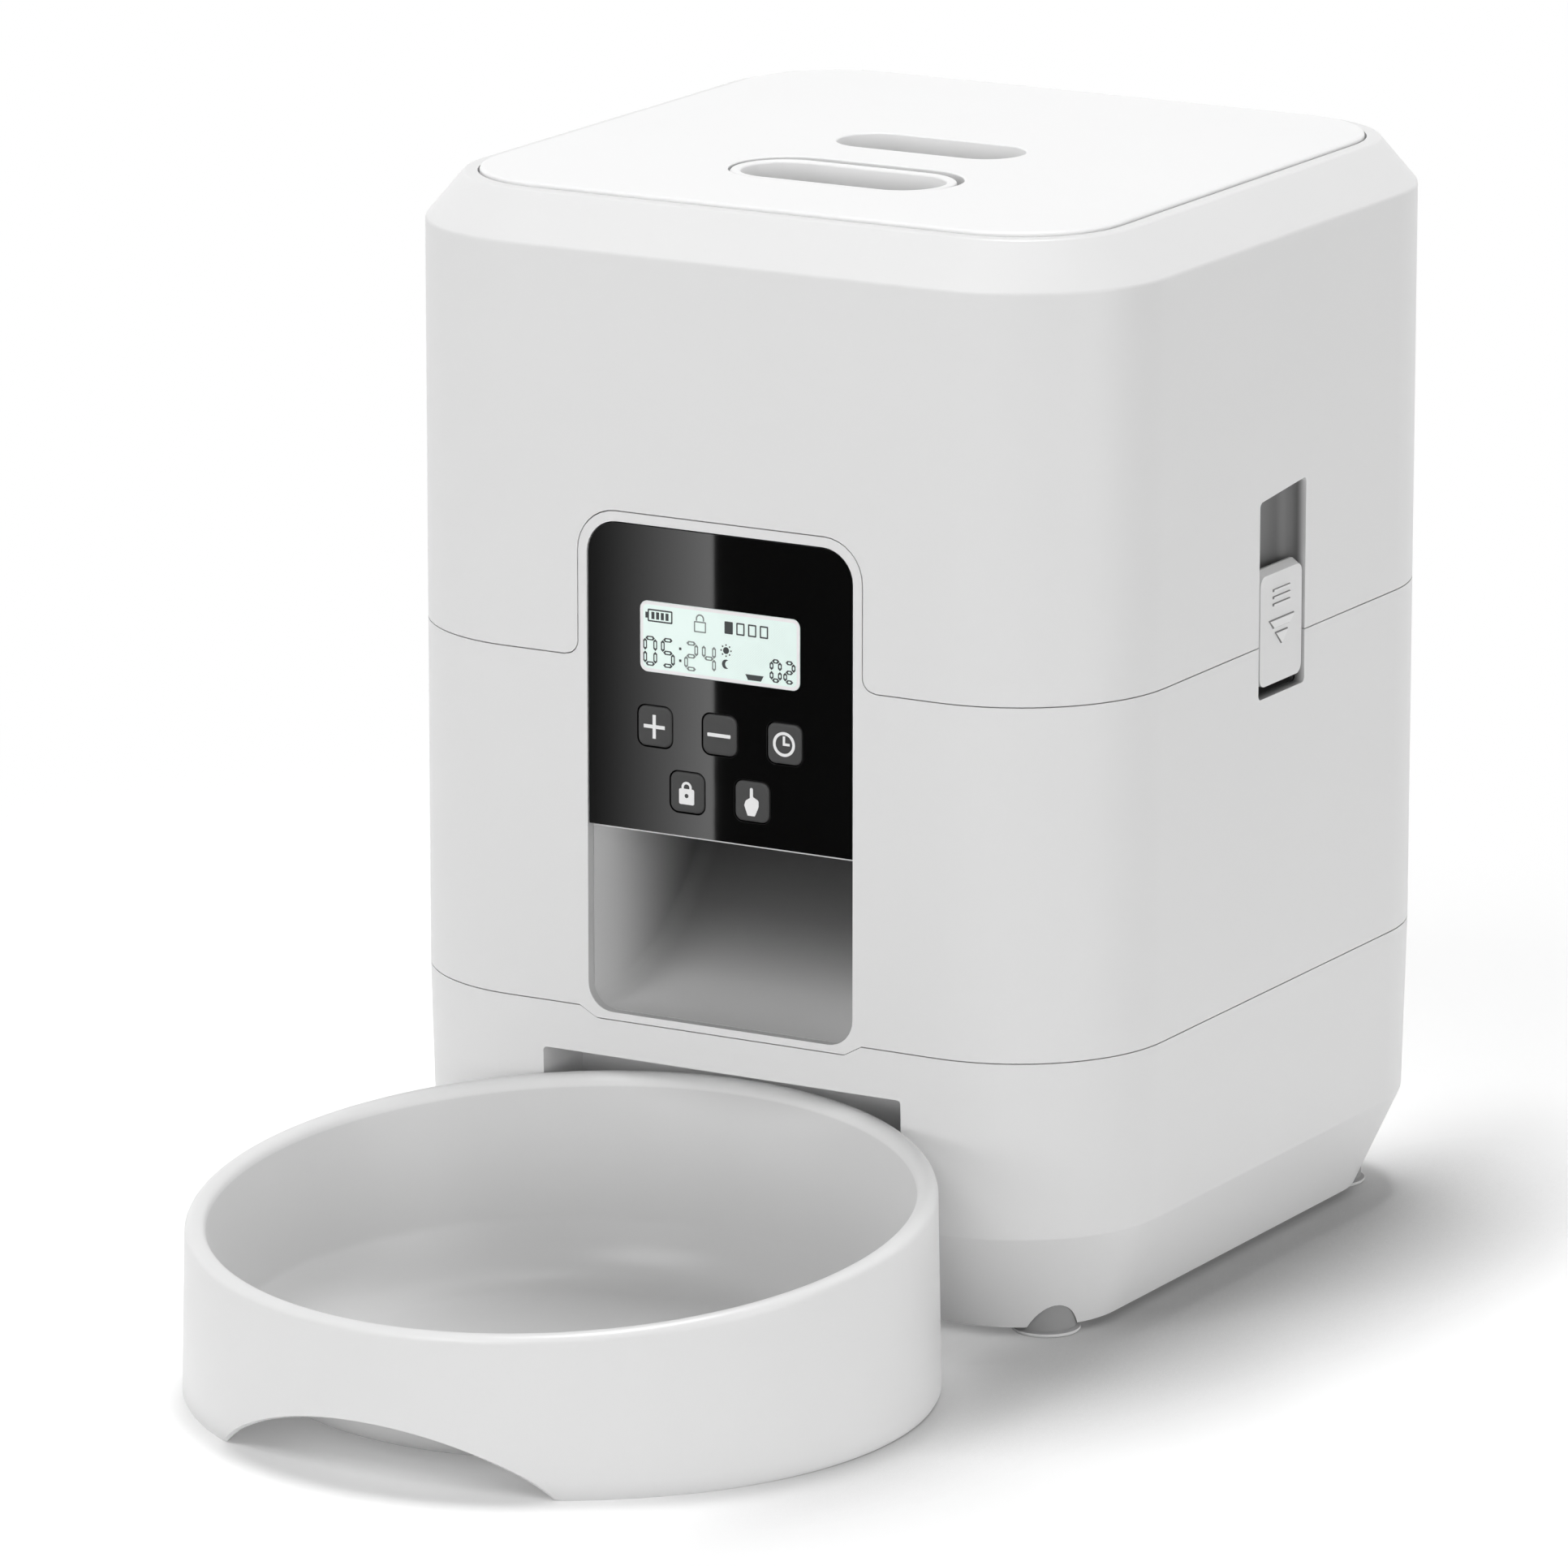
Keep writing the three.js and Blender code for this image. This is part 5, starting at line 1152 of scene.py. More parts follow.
def bowl_piece():
    """A turned section. Its upper part leans so that the rim slopes down to the front, and the foot of its
    skirt is raised along a circular arch at the front."""
    rim_radius = BOWL_RIM_WIDTH / 2
    rim_centre = (BOWL_RIM_RADIUS - rim_radius, BOWL_RIM_HEIGHT - rim_radius)
    wall_top = (BOWL_RIM_RADIUS - BOWL_RIM_WIDTH, rim_centre[1])
    inside = filleted([(0, BOWL_FLOOR), (BOWL_FLOOR_RADIUS, BOWL_FLOOR), BOWL_WALL_FOOT, wall_top],
                      [0, BOWL_FLOOR_ROUNDING, BOWL_WALL_ROUNDING, 0], 10)
    outside = np.linspace((BOWL_RIM_RADIUS, rim_centre[1]), (BOWL_FOOT_RADIUS, BOWL_FOOT_ROUNDING),
                          BOWL_SKIRT_ROWS)
    foot = [(BOWL_FOOT_RADIUS - BOWL_LIP, 0), (BOWL_FOOT_RADIUS - BOWL_SKIRT + BOWL_LIP, 0)]
    within = np.linspace((BOWL_FOOT_RADIUS - BOWL_SKIRT, BOWL_FOOT_ROUNDING),
                         (BOWL_RIM_RADIUS - BOWL_SKIRT, rim_centre[1] - BOWL_SKIRT), BOWL_SKIRT_ROWS)
    under = [within[-1], BOWL_UNDERSIDE_FOOT, (BOWL_UNDERSIDE_RADIUS, BOWL_UNDERSIDE), (0, BOWL_UNDERSIDE)]
    under = filleted(under, [0, BOWL_WALL_ROUNDING, BOWL_UNDERSIDE_ROUNDING, 0], 10)[1:]
    rim = arc(rim_centre, rim_radius, 180, 0, 12)[1:]
    profile = np.concatenate([inside, rim, outside[1:], foot, within, under])
    angle = np.linspace(0, 2 * math.pi, BOWL_STEPS, endpoint=False)
    radius, height = profile[:, 0][:, None], profile[:, 1][:, None]
    x, y = radius * np.sin(angle), -radius * np.cos(angle)
    z = height + 0 * angle
    arch_radius = (BOWL_ARCH_HALF_CHORD ** 2 + BOWL_ARCH_HEIGHT ** 2) / (2 * BOWL_ARCH_HEIGHT)
    rise = np.sqrt(np.maximum(arch_radius ** 2 - x ** 2, 0)) - (arch_radius - BOWL_ARCH_HEIGHT)
    rise = np.where((y < 0) & (np.abs(x) < BOWL_ARCH_HALF_CHORD), np.maximum(rise, 0), 0)
    skirt = (radius > BOWL_RIM_RADIUS - BOWL_SKIRT - OVERRUN) & (height < BOWL_ARCH_BLEND)
    z = np.where(skirt, rise + z * (BOWL_ARCH_BLEND - rise) / BOWL_ARCH_BLEND, z)
    lean = np.maximum(0, (z - BOWL_FLOOR) / (BOWL_RIM_HEIGHT - BOWL_FLOOR))
    z = z + lean * BOWL_SLOPE * y
    rings = np.stack([x, y + BOWL_Y, z], axis=-1)
    faces = grid_faces(len(profile), BOWL_STEPS, False, True).tolist()
    bowl = new_piece("bowl_piece", rings.reshape(-1, 3), faces)
    half = BOWL_NOTCH_HALF_WIDTH
    notch = prism("notch", even_rectangle(-half, half, -OVERRUN, BOWL_NOTCH_HEIGHT, 0, 1),
                  BOWL_Y + BOWL_UNDERSIDE_FOOT[0] + OVERRUN, BOWL_Y + BOWL_FOOT_RADIUS + OVERRUN, 1)
    carve(bowl, [notch])
    shade_by_angle(bowl, BOWL_CREASE)
    return dress(bowl, "bowl", "white_shell", BOWL_WHITE, "bowl")


bowl_piece()


# Chute

def chute_rings(margin):
    """Rounded rectangles across the chute. Each reaches from a point of the ramp to a point of the roof."""
    angle = np.radians(np.linspace(0, CHUTE_ANGLE, CHUTE_RAMP_STEPS + 1))
    radius = CHUTE_RADIUS + margin
    ramp = np.column_stack([CHUTE_MOUTH + radius * np.sin(angle),
                            OPENING_BOTTOM + CHUTE_RADIUS - radius * np.cos(angle)])
    ramp = np.vstack([ramp, (CHUTE_BACK + margin, CHUTE_TOP)])
    lip = CHUTE_ROOF + max(margin, CHUTE_LIP_RISE)
    roof = filleted([(CHUTE_MOUTH, lip), (CHUTE_MOUTH + CHUTE_LIP_DEPTH, CHUTE_ROOF + margin),
                     (CHUTE_ROOF_BACK - margin / 2, CHUTE_ROOF + margin), (CHUTE_FRONT - margin, CHUTE_TOP)],
                    [0, CHUTE_ROUNDING, CHUTE_ROUNDING, 0], 6)
    along = np.concatenate([[0], np.cumsum(np.linalg.norm(np.diff(roof, axis=0), axis=1))])
    share = np.linspace(0, 1, len(ramp)) * along[-1]
    roof = np.column_stack([np.interp(share, along, roof[:, 0]), np.interp(share, along, roof[:, 1])])
    rings = []
    for low, high in zip(ramp, roof):
        span = high - low
        length = np.linalg.norm(span)
        half = OPENING_HALF_WIDTH + margin
        low_radius, high_radius = CHUTE_ROUNDING + margin, CHUTE_ROOF_RADIUS + margin
        flat = rounded_rectangle(-half, half, 0, length, [low_radius, high_radius, high_radius, low_radius])
        point = low + flat[:, 1:] / length * span
        rings.append(np.column_stack([flat[:, 0], point]))
    return rings


def chute_piece():
    rings = [*chute_rings(0), *chute_rings(CHUTE_WALL)[::-1]]
    chute = loft("chute_piece", rings, closed=True)
    shade_by_angle(chute, CURVE_CREASE)
    return dress(chute, "base", "inner_white", CHUTE_PAINTED_SHADE, "chute")


chute_piece()


# Panel, keys and display

KEYS = {
    "key_plus": (-KEY_PITCH, KEY_UPPER_ROW), "key_minus": (0.0, KEY_UPPER_ROW),
    "key_set": (KEY_PITCH, KEY_UPPER_ROW), "key_lock": (-KEY_PITCH / 2, KEY_LOWER_ROW),
    "key_feed": (KEY_PITCH / 2, KEY_LOWER_ROW),
}


def key_outline(x, z, margin, radius=KEY_RADIUS):
    half_x, half_z = KEY_HALF_WIDTH + margin, KEY_HALF_HEIGHT + margin
    return even_rectangle(x - half_x, x + half_x, z - half_z, z + half_z, radius + margin)


def display_outline(margin):
    half = DISPLAY_HALF_WIDTH + margin
    return even_rectangle(-half, half, DISPLAY_BOTTOM - margin, DISPLAY_TOP + margin, DISPLAY_RADIUS + margin)


def panel_piece():
    back = PANEL_FRONT + PANEL_THICKNESS
    panel = prism("panel_cover", opening_outline(CLEARANCE, PANEL_BOTTOM), PANEL_FRONT, back, 1)
    outlines = [key_outline(x, z, CLEARANCE) for x, z in KEYS.values()]
    outlines.append(display_outline(WINDOW_GAP))
    carve(panel, [prism("hole", outline, PANEL_FRONT - OVERRUN, back + OVERRUN, 1) for outline in outlines])
    soften(panel, PANEL_SOFTNESS)
    return dress(panel, "base", "panel_gloss", PANEL_BLACK, "front_panel")


def key_piece(name, x, z):
    """A key's cap with softly rounded edges, on its flange behind the panel."""
    front = PANEL_FRONT - KEY_PROUD
    profile = [*KEY_ROUNDING, (0.0, KEY_CAP_DEPTH)]
    cap = loft(name + "_cap", [np.insert(key_outline(x, z, -inset, KEY_RADIUS), 1, front + depth, axis=1)
                               for inset, depth in profile])
    back = front + KEY_CAP_DEPTH
    flange = prism("flange", key_outline(x, z, KEY_FLANGE), back, back + KEY_FLANGE, 1)
    carve(cap, [flange], "UNION")
    shade_by_angle(cap, KEY_CREASE)
    return dress(cap, name, "key_caps", KEY_BLACK, name)


def display_piece():
    back = PANEL_FRONT + DISPLAY_DEPTH
    window = prism("display_window", display_outline(-WINDOW_FIT), PANEL_FRONT + DISPLAY_SETBACK, back, 1)
    soften(window, WINDOW_SOFTNESS)
    return dress(window, "base", "display_window", LCD_MINT, "display")


def plate(outline, back, rise):
    """A thin closed plate that stands on a front face."""
    return prism("plate", outline, back - rise, back, 1)


def frame_plate(outer, inner, back, rise):
    """A plate between an outline and a smaller one with as many points."""
    loops = [(outer, back), (outer, back - rise), (inner, back - rise), (inner, back)]
    rings = [np.insert(np.asarray(loop, float), 1, level, axis=1) for loop, level in loops]
    return loft("frame_plate", rings, closed=True)


def centred(width, height, x, z, radius=0.0, steps=4):
    """A rectangle outline about a point."""
    return even_rectangle(x - width / 2, x + width / 2, z - height / 2, z + height / 2, radius, steps)


def shackle(x, z, radius, line, leg):
    """The bow of a padlock: a half ring on two legs, as one outline."""
    outer = arc((x, z), radius, 0, 180, BOW_STEPS)
    inner = arc((x, z), radius - line, 180, 0, BOW_STEPS)
    foot = z - leg
    left_foot = [(x - radius, foot), (x - radius + line, foot)]
    return np.concatenate([[(x + radius, foot)], outer, left_foot, inner, [(x + radius - line, foot)]])


def cross_outline(half, line):
    """A plus sign with arms of one length and a half line width."""
    return [(half, -line), (half, line), (line, line), (line, half), (-line, half), (-line, line),
            (-half, line), (-half, -line), (-line, -line), (-line, -half), (line, -half), (line, -line)]


def clock_hands(right, up, line):
    """Two hands that meet in a corner: one to the right, one upwards."""
    return [(-line, -line), (right, -line), (right, line), (line, line), (line, up), (-line, up)]


def key_symbol(name, x, z):
    """The pale sign on a key's cap, as thin plates, with a dark one for a padlock's keyhole."""
    face = PANEL_FRONT - KEY_PROUD
    if name == "key_plus":
        outlines = [np.add(cross_outline(PLUS_ARM, STROKE / 2), (x, z))]
    elif name == "key_minus":
        outlines = [centred(MINUS_WIDTH, STROKE, x, z, MINUS_ROUNDING)]
    elif name == "key_set":
        outlines = [np.add(clock_hands(*CLOCK_HANDS, CLOCK_HAND_HALF), (x, z))]
    elif name == "key_lock":
        outlines = [centred(*LOCK_BODY, x, z - LOCK_BODY_DROP, LOCK_ROUNDING),
                    shackle(x, z + LOCK_BOW_RISE, LOCK_BOW_RADIUS, LOCK_BOW_LINE, LOCK_BOW_LEG)]
        hole = circle(x, z - KEYHOLE_DROP, KEYHOLE_RADIUS, BOW_STEPS)
        dress(plate(hole, face - SYMBOL_RISE, SYMBOL_RISE / 2), name, "key_caps", KEY_BLACK)
    else:
        outlines = [filleted(HAND_POINTS, HAND_RADII, 4, True) + (x, z)]
    signs = [plate(outline, face, SYMBOL_RISE) for outline in outlines]
    if name == "key_set":
        rim = circle(x, z, CLOCK_RADIUS), circle(x, z, CLOCK_RADIUS - CLOCK_RIM)
        signs.append(frame_plate(*rim, face, SYMBOL_RISE))
    return dress(several(name + "_sign", signs), name, "key_caps", SYMBOL_WHITE)


# The bars of a seven-bar digit: top, right high, right low, bottom, left low, left high and middle, as shares
# of the digit's width and height, and whether the bar stands upright
BAR_SHARES = {
    "a": (0.5, 1.0, False), "b": (1.0, 0.75, True), "c": (1.0, 0.25, True), "d": (0.5, 0.0, False),
    "e": (0.0, 0.25, True), "f": (0.0, 0.75, True), "g": (0.5, 0.5, False),
}
DIGIT_BARS = {"0": "abcdef", "2": "abged", "4": "fgbc", "5": "afgcd"}
MARK_FACE = PANEL_FRONT + DISPLAY_SETBACK


def bar_outline(x, z, half_length, half_width, upright):
    """A bar with pointed ends, about a point."""
    tip = half_length - half_width
    points = np.array([(-half_length, 0), (-tip, -half_width), (tip, -half_width), (half_length, 0),
                       (tip, half_width), (-tip, half_width)])
    if upright:
        points = points[:, ::-1] * (-1, 1)
    return points + (x, z)


def digit(character, left, top, size):
    """The hollow bars of one digit, given from the window's top left corner."""
    width, height = size[0] - DIGIT_STROKE, size[1] - DIGIT_STROKE
    x0, z0 = on_window(left + DIGIT_STROKE / 2, top + size[1] - DIGIT_STROKE / 2)
    bars = []
    for bar in DIGIT_BARS[character]:
        across, up, upright = BAR_SHARES[bar]
        half = (height / 4 if upright else width / 2) - DIGIT_GAP
        place = (x0 + across * width, z0 + up * height)
        outer = bar_outline(*place, half, DIGIT_STROKE / 2, upright)
        inner = bar_outline(*place, half - DIGIT_LINE, DIGIT_STROKE / 2 - DIGIT_LINE / 2, upright)
        bars.append(frame_plate(outer, inner, MARK_FACE, INK_RISE))
    return bars


def on_window(left, top):
    """A point of the display's window, given from its top left corner."""
    return left - DISPLAY_HALF_WIDTH, DISPLAY_TOP - top


def block(size, left, top, radius=0.0):
    """A full rectangle on the display."""
    return plate(centred(*size, *on_window(left, top), radius), MARK_FACE, INK_RISE)


def box(size, left, top, radius, line):
    """A hollow rectangle on the display."""
    place = on_window(left, top)
    inner = centred(size[0] - line * 2, size[1] - line * 2, *place, BOX_ROUNDING)
    return frame_plate(centred(*size, *place, radius), inner, MARK_FACE, INK_RISE)


def sun_marks():
    """A disc with eight short rays."""
    left, top = SUN_PLACE
    turns = np.linspace(0, 2 * math.pi, 8, endpoint=False)
    rays = [block(SUN_RAY, left + SUN_REACH * math.cos(turn), top - SUN_REACH * math.sin(turn))
            for turn in turns]
    return [plate(circle(*on_window(left, top), SUN_RADIUS, BOW_STEPS), MARK_FACE, INK_RISE), *rays]


def moon_mark():
    """A crescent between two arcs."""
    outer = arc(on_window(*MOON_PLACE), MOON_RADIUS, *MOON_TURN, 12)
    inner = arc(on_window(*MOON_SHADE_PLACE), MOON_SHADE_RADIUS, *MOON_SHADE_TURN, 12)
    return plate(np.concatenate([outer, inner]), MARK_FACE, INK_RISE)


def display_marks():
    """A white border, a battery, a padlock, meal squares, a time, a sun, a moon, a bowl and a count."""
    edges = [display_outline(-inset) for inset in (BORDER_FIT, DISPLAY_BORDER)]
    dress(frame_plate(*edges, MARK_FACE, INK_RISE / 2), "base", "display_window", LCD_BORDER)

    dark = [box(BATTERY, *BATTERY_PLACE, BATTERY_ROUNDING, INK_LINE), block(BATTERY_TIP, *BATTERY_TIP_PLACE)]
    left, top = BATTERY_BAR_PLACE
    dark += [block(BATTERY_BAR, left + BATTERY_BAR_PITCH * bar, top) for bar in range(4)]
    left, top = MEAL_PLACE
    dark += [block(MEAL, left, top, MARK_ROUNDING)]
    dark += [box(MEAL, left + MEAL_PITCH * place, top, MARK_ROUNDING, INK_LINE) for place in range(1, 4)]
    dark += [*sun_marks(), moon_mark()]
    dark += [plate(np.add(DISH_POINTS, on_window(*DISH_PLACE)), MARK_FACE, INK_RISE)]
    dark += [block(COLON_DOT, COLON_LEFT, top) for top in COLON_TOPS]
    for character, left in CLOCK_DARK:
        dark += digit(character, left, CLOCK_DIGIT_TOP, CLOCK_DIGIT)
    for character, left in COUNT_DARK:
        dark += digit(character, left, COUNT_DIGIT_TOP, COUNT_DIGIT)
    dress(several("display_marks", dark), "base", "display_window", LCD_INK)

    x, z = on_window(*PADLOCK_BOW_PLACE)
    bow = shackle(x, z, PADLOCK_BOW_RADIUS, INK_LINE, PADLOCK_BOW_LEG)
    pale = [box(PADLOCK, *PADLOCK_PLACE, MARK_ROUNDING, PADLOCK_LINE), plate(bow, MARK_FACE, INK_RISE)]
    for character, left in CLOCK_PALE:
        pale += digit(character, left, CLOCK_DIGIT_TOP, CLOCK_DIGIT)
    dress(several("display_pale_marks", pale), "base", "display_window", LCD_INK_PALE)


panel_piece()
for key_name, (key_x, key_z) in KEYS.items():
    key_piece(key_name, key_x, key_z)
    key_symbol(key_name, key_x, key_z)
display_piece()
display_marks()


# Side locks and feet

def lock_piece(side):
    """A slider with a sloped lip on top, a raised arrow in two parts under grip ribs, and a tab behind."""
    back = BODY_HALF_WIDTH - POCKET_DEPTH + CLEARANCE
    face = BODY_HALF_WIDTH - CLEARANCE
    half = SLIDER_HALF_WIDTH
    name = "side_lock_right" if side > 0 else "side_lock_left"
    rings = []
    for level, drop, inset in ((back, 0, SLIDER_BACK_INSET), (back + SLIDER_BACK_INSET, 0, 0),
                               (face - SLIDER_LIP_DEPTH, 0, 0), (face, SLIDER_LIP_HEIGHT, 0)):
        outline = even_rectangle(inset - half, half - inset, SLIDER_BOTTOM + inset, SLIDER_TOP - inset - drop,
                                 SLIDER_RADIUS)
        rings.append(np.insert(outline, 0, side * level, axis=1))
    slider = loft(name + "_slider", rings)
    tip = back - TAB_REACH
    tabs = []
    for width, end in ((TAB_HALF_WIDTH, back + OVERRUN), (TAB_HEAD_HALF_WIDTH, tip + TAB_HEAD)):
        outline = even_rectangle(-width, width, TAB_BOTTOM, TAB_TOP, TAB_RADIUS, 3)
        tabs.append(prism("tab", outline, side * tip, side * end, 0))
    slope = ARROW_HALF_WIDTH / (ARROW_TOP - ARROW_TIP)
    high, low = (ARROW_GROOVE_TOP - ARROW_TIP) * slope, (ARROW_GROOVE_BOTTOM - ARROW_TIP) * slope
    upper = [(-ARROW_HALF_WIDTH, ARROW_TOP), (-high, ARROW_GROOVE_TOP), (high, ARROW_GROOVE_TOP),
             (ARROW_HALF_WIDTH, ARROW_TOP)]
    lower = [(-low, ARROW_GROOVE_BOTTOM), (0, ARROW_TIP), (low, ARROW_GROOVE_BOTTOM)]
    ribs = [even_rectangle(-RIB_HALF_WIDTH, RIB_HALF_WIDTH, place - RIB_HEIGHT / 2, place + RIB_HEIGHT / 2,
                           RIB_HEIGHT / 3, 3) for place in RIB_PLACES]
    carve(slider, tabs, "UNION")
    soften(slider, SLIDER_SOFTNESS)
    marks = several(name + "_marks", [raised_mark(outline, side, face) for outline in (upper, lower, *ribs)])
    dress(marks, name, "white_shell", SLIDER_MARKS)
    return dress(slider, name, "white_shell", SLIDER_WHITE, name)


def raised_mark(outline, side, face):
    """A low mark with sloped sides: its top is the outline drawn in towards the middle by the slope."""
    outline = np.asarray(outline, float)
    low, high = outline.min(0), outline.max(0)
    middle, half = (low + high) / 2, (high - low) / 2
    top = middle + (outline - middle) * (half - np.minimum(MARK_SLOPE, half / 2)) / half
    levels = ((outline, face - MARK_RISE), (outline, face), (top, face + MARK_RISE))
    return loft("mark", [np.insert(ring, 0, side * level, axis=1) for ring, level in levels])


def foot_piece(x, y, name):
    """A turned foot: a slightly hollow sole, a rolled rim at the floor and a narrower neck."""
    top = FOOT_POCKET_TOP - FOOT_CROWN
    crown = [(FOOT_NECK, top - FOOT_CROWN), (FOOT_NECK - FOOT_CROWN, top), (0, top)]
    profile = np.array([*FOOT_SECTION, *crown])
    angle = np.linspace(0, 2 * math.pi, FOOT_STEPS, endpoint=False)
    radius, height = profile[:, 0][:, None], profile[:, 1][:, None]
    points = np.stack([x + radius * np.cos(angle), y + radius * np.sin(angle), height + 0 * angle], axis=-1)
    faces = grid_faces(len(profile), FOOT_STEPS, False, True).tolist()
    foot = new_piece(name + "_pad", points.reshape(-1, 3), faces)
    shade_by_angle(foot, CURVE_CREASE)
    return dress(foot, "base", "foot_rubber", FOOT_GREY, name)


for lock_side in (1, -1):
    lock_piece(lock_side)
for foot_x, foot_side in ((-FOOT_X, "left"), (FOOT_X, "right")):
    for foot_y, foot_end in ((-FOOT_Y, "front"), (FOOT_Y, "rear")):
        foot_piece(foot_x, foot_y, f"foot_{foot_end}_{foot_side}")


# Inner pieces

def softened(node, body, slot_name):
    """A merged copy of a piece of the frame, with its flat faces joined and its edges rounded."""
    work = bmesh.new()
    work.from_mesh(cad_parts[node].data)
    bmesh.ops.remove_doubles(work, verts=work.verts, dist=NODE_MERGE_REACH)
    bmesh.ops.dissolve_limit(work, angle_limit=math.radians(FLAT_ANGLE), verts=work.verts, edges=work.edges)
    bmesh.ops.recalc_face_normals(work, faces=work.faces)
    mesh = bpy.data.meshes.new(node + "_finished")
    work.to_mesh(mesh)
    work.free()
    piece = linked(node + "_finished", mesh)
    shade_by_angle(piece, CREASE_ANGLE)
    soften(piece, INNER_SOFTNESS, CREASE_ANGLE, 2)
    return dress(piece, body, slot_name, FINISHES[slot_name], node)


SOFTENED_NODES = {
    "housing_deck": ("base", "inner_white"), "base_floor": ("base", "white_shell"),
    "battery_door": ("battery_door", "white_shell"), "power_inlet": ("base", "black_plastic"),
    "hopper_funnel": ("hopper", "inner_white"), "metering_cup": ("hopper", "inner_white"),
    "metering_shield": ("hopper", "inner_white"), "rotor": ("rotor", "rotor_soft"),
    "desiccant_box": ("desiccant_box", "inner_white"), "drive_shaft": ("drive_shaft", "steel_parts"),
}


def finish_inner_pieces():
    """Softened copies for what shows when the feeder is taken apart, and finishes for every other piece."""
    for node, (body, slot_name) in SOFTENED_NODES.items():
        softened(node, body, slot_name)
    for node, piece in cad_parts.items():
        if piece.hide_render:
            continue
        piece.data.materials.clear()
        piece.data.materials.append(FINISHES[node_slot(node)])


def node_slot(node):
    """The record's material slot of a piece that keeps its own mesh."""
    for start, slot_name in KEPT_SLOTS:
        if node.startswith(start):
            return slot_name
    return "inner_white"


KEPT_SLOTS = (
    ("battery_cell", "cell_casing"), ("battery_contact", "steel_parts"), ("control_board", "board"),
    ("motor", "steel_parts"), ("gearbox_screw", "steel_parts"), ("gearbox", "black_plastic"),
    ("panel_carrier", "black_plastic"), ("panel_back_cover", "black_plastic"),
    ("lid_gasket", "gasket_rubber"), ("housing_screw", "steel_parts"), ("floor_screw", "steel_parts"),
)

finish_inner_pieces()


# Studio

def view_vectors():
    azimuth, elevation = math.radians(AZIMUTH), math.radians(ELEVATION)
    back = np.array([math.sin(azimuth) * math.cos(elevation), -math.cos(azimuth) * math.cos(elevation),
                     math.sin(elevation)])
    right = np.array([math.cos(azimuth), math.sin(azimuth), 0.0])
    return right, np.cross(back, right), back


def add_camera():
    right, up, back = view_vectors()
    data = bpy.data.cameras.new("camera")
    data.lens = LENS
    data.clip_end = CAMERA_REACH
    camera = linked("camera", data)
    place = to_row(TARGET + back * DISTANCE)
    camera.matrix_world = Matrix([[right[i], up[i], back[i], place[i]] for i in range(3)] + [[0, 0, 0, 1]])
    bpy.context.scene.camera = camera


def seen_ray(tree):
    """1 for rays from the camera, off glossy surfaces and through clear ones."""
    path = tree.nodes.new("ShaderNodeLightPath").outputs
    seen = calculate(tree, "MAXIMUM", path["Is Camera Ray"], path["Is Glossy Ray"])
    return calculate(tree, "MAXIMUM", seen, path["Is Transmission Ray"])


def mixed(tree, first, second, share):
    """Goes from the first value to the second as the share grows."""
    return fed(tree, "ShaderNodeMix", A=first, B=second, Factor=share).outputs["Result"]


def far_floor(tree):
    """Grows from 0 near the object to 1 far from it, where the floor itself is the white background."""
    away = tree.nodes.new("ShaderNodeVectorMath")
    away.operation = "LENGTH"
    feed(tree, away.inputs[0], object_point(tree))
    return ramp(tree, away.outputs["Value"], *FLOOR_FAR)


def floor_painted_shadow(tree, seen):
    """Painted shadow on the floor: 1 on the open floor and less where the object covers it, on the side that
    the lamp doesn't reach.
    """
    cover = fed(tree, "ShaderNodeAmbientOcclusion", Distance=PAINTED_SHADOW_DISTANCE).outputs["AO"]
    side = ramp(tree, object_axes(tree)[0], *PAINTED_SHADOW_SIDE)
    return mixed(tree, 1.0, calculate(tree, "POWER", cover, PAINTED_SHADOW_POWER), times(tree, side, seen))


def add_floor():
    """A pale floor that the camera sees as white, with the object's shadow on it, deepened by a painted
    shadow on the side away from the lamp.
    """
    mesh = bpy.data.meshes.new("floor")
    reach = FLOOR_REACH
    corners = [(-reach, -reach, 0), (reach, -reach, 0), (reach, reach, 0), (-reach, reach, 0)]
    mesh.from_pydata(corners, [], [(0, 1, 2, 3)])
    material, tree, shader = new_material("floor")
    shader["Roughness"].default_value = 1.0
    shader["Specular IOR Level"].default_value = 0.0
    shader["Emission Color"].default_value = (1, 1, 1, 1)
    seen = seen_ray(tree)
    far = times(tree, seen, far_floor(tree))
    near = calculate(tree, "SUBTRACT", 1.0, far)
    # Painted shadow that deepens the cast shadow on the side away from the lamp
    painted_shadow_factor = floor_painted_shadow(tree, seen)
    tone = mixed(tree, linear(FLOOR_TONE)[0], FLOOR_SEEN, seen)
    feed(tree, shader["Base Color"], times(tree, tone, near, painted_shadow_factor))
    glow = mixed(tree, FLOOR_GLOW, 1.0, far)
    feed(tree, shader["Emission Strength"], times(tree, glow, seen, painted_shadow_factor))
    mesh.materials.append(material)
    linked("floor", mesh)


def add_lamp(name, place, size, power):
    data = bpy.data.lights.new(name, "AREA")
    data.shape = "RECTANGLE"
    data.size, data.size_y = size
    data.energy = power
    lamp = linked(name, data)
    lamp.location = Vector(place)
    lamp.rotation_euler = (Vector(LAMP_AIM) - Vector(place)).to_track_quat("-Z", "Y").to_euler()


def add_card(name, corners, glow):
    """A reflector that only glossy surfaces see. Its corners are in millimetres, and glow is its strength or
    a function of its node tree."""
    mesh = bpy.data.meshes.new(name)
    mesh.from_pydata(to_row(corners).tolist(), [], [(0, 1, 2, 3)])
    card = linked(name, mesh)
    card.visible_camera = False
    card.visible_diffuse = False
    card.visible_transmission = False
    card.visible_shadow = False
    material, tree, shader = new_material(name)
    shader["Base Color"].default_value = (0, 0, 0, 1)
    shader["Specular IOR Level"].default_value = 0.0
    shader["Emission Color"].default_value = (1, 1, 1, 1)
    feed(tree, shader["Emission Strength"], glow(tree) if callable(glow) else glow)
    mesh.materials.append(material)


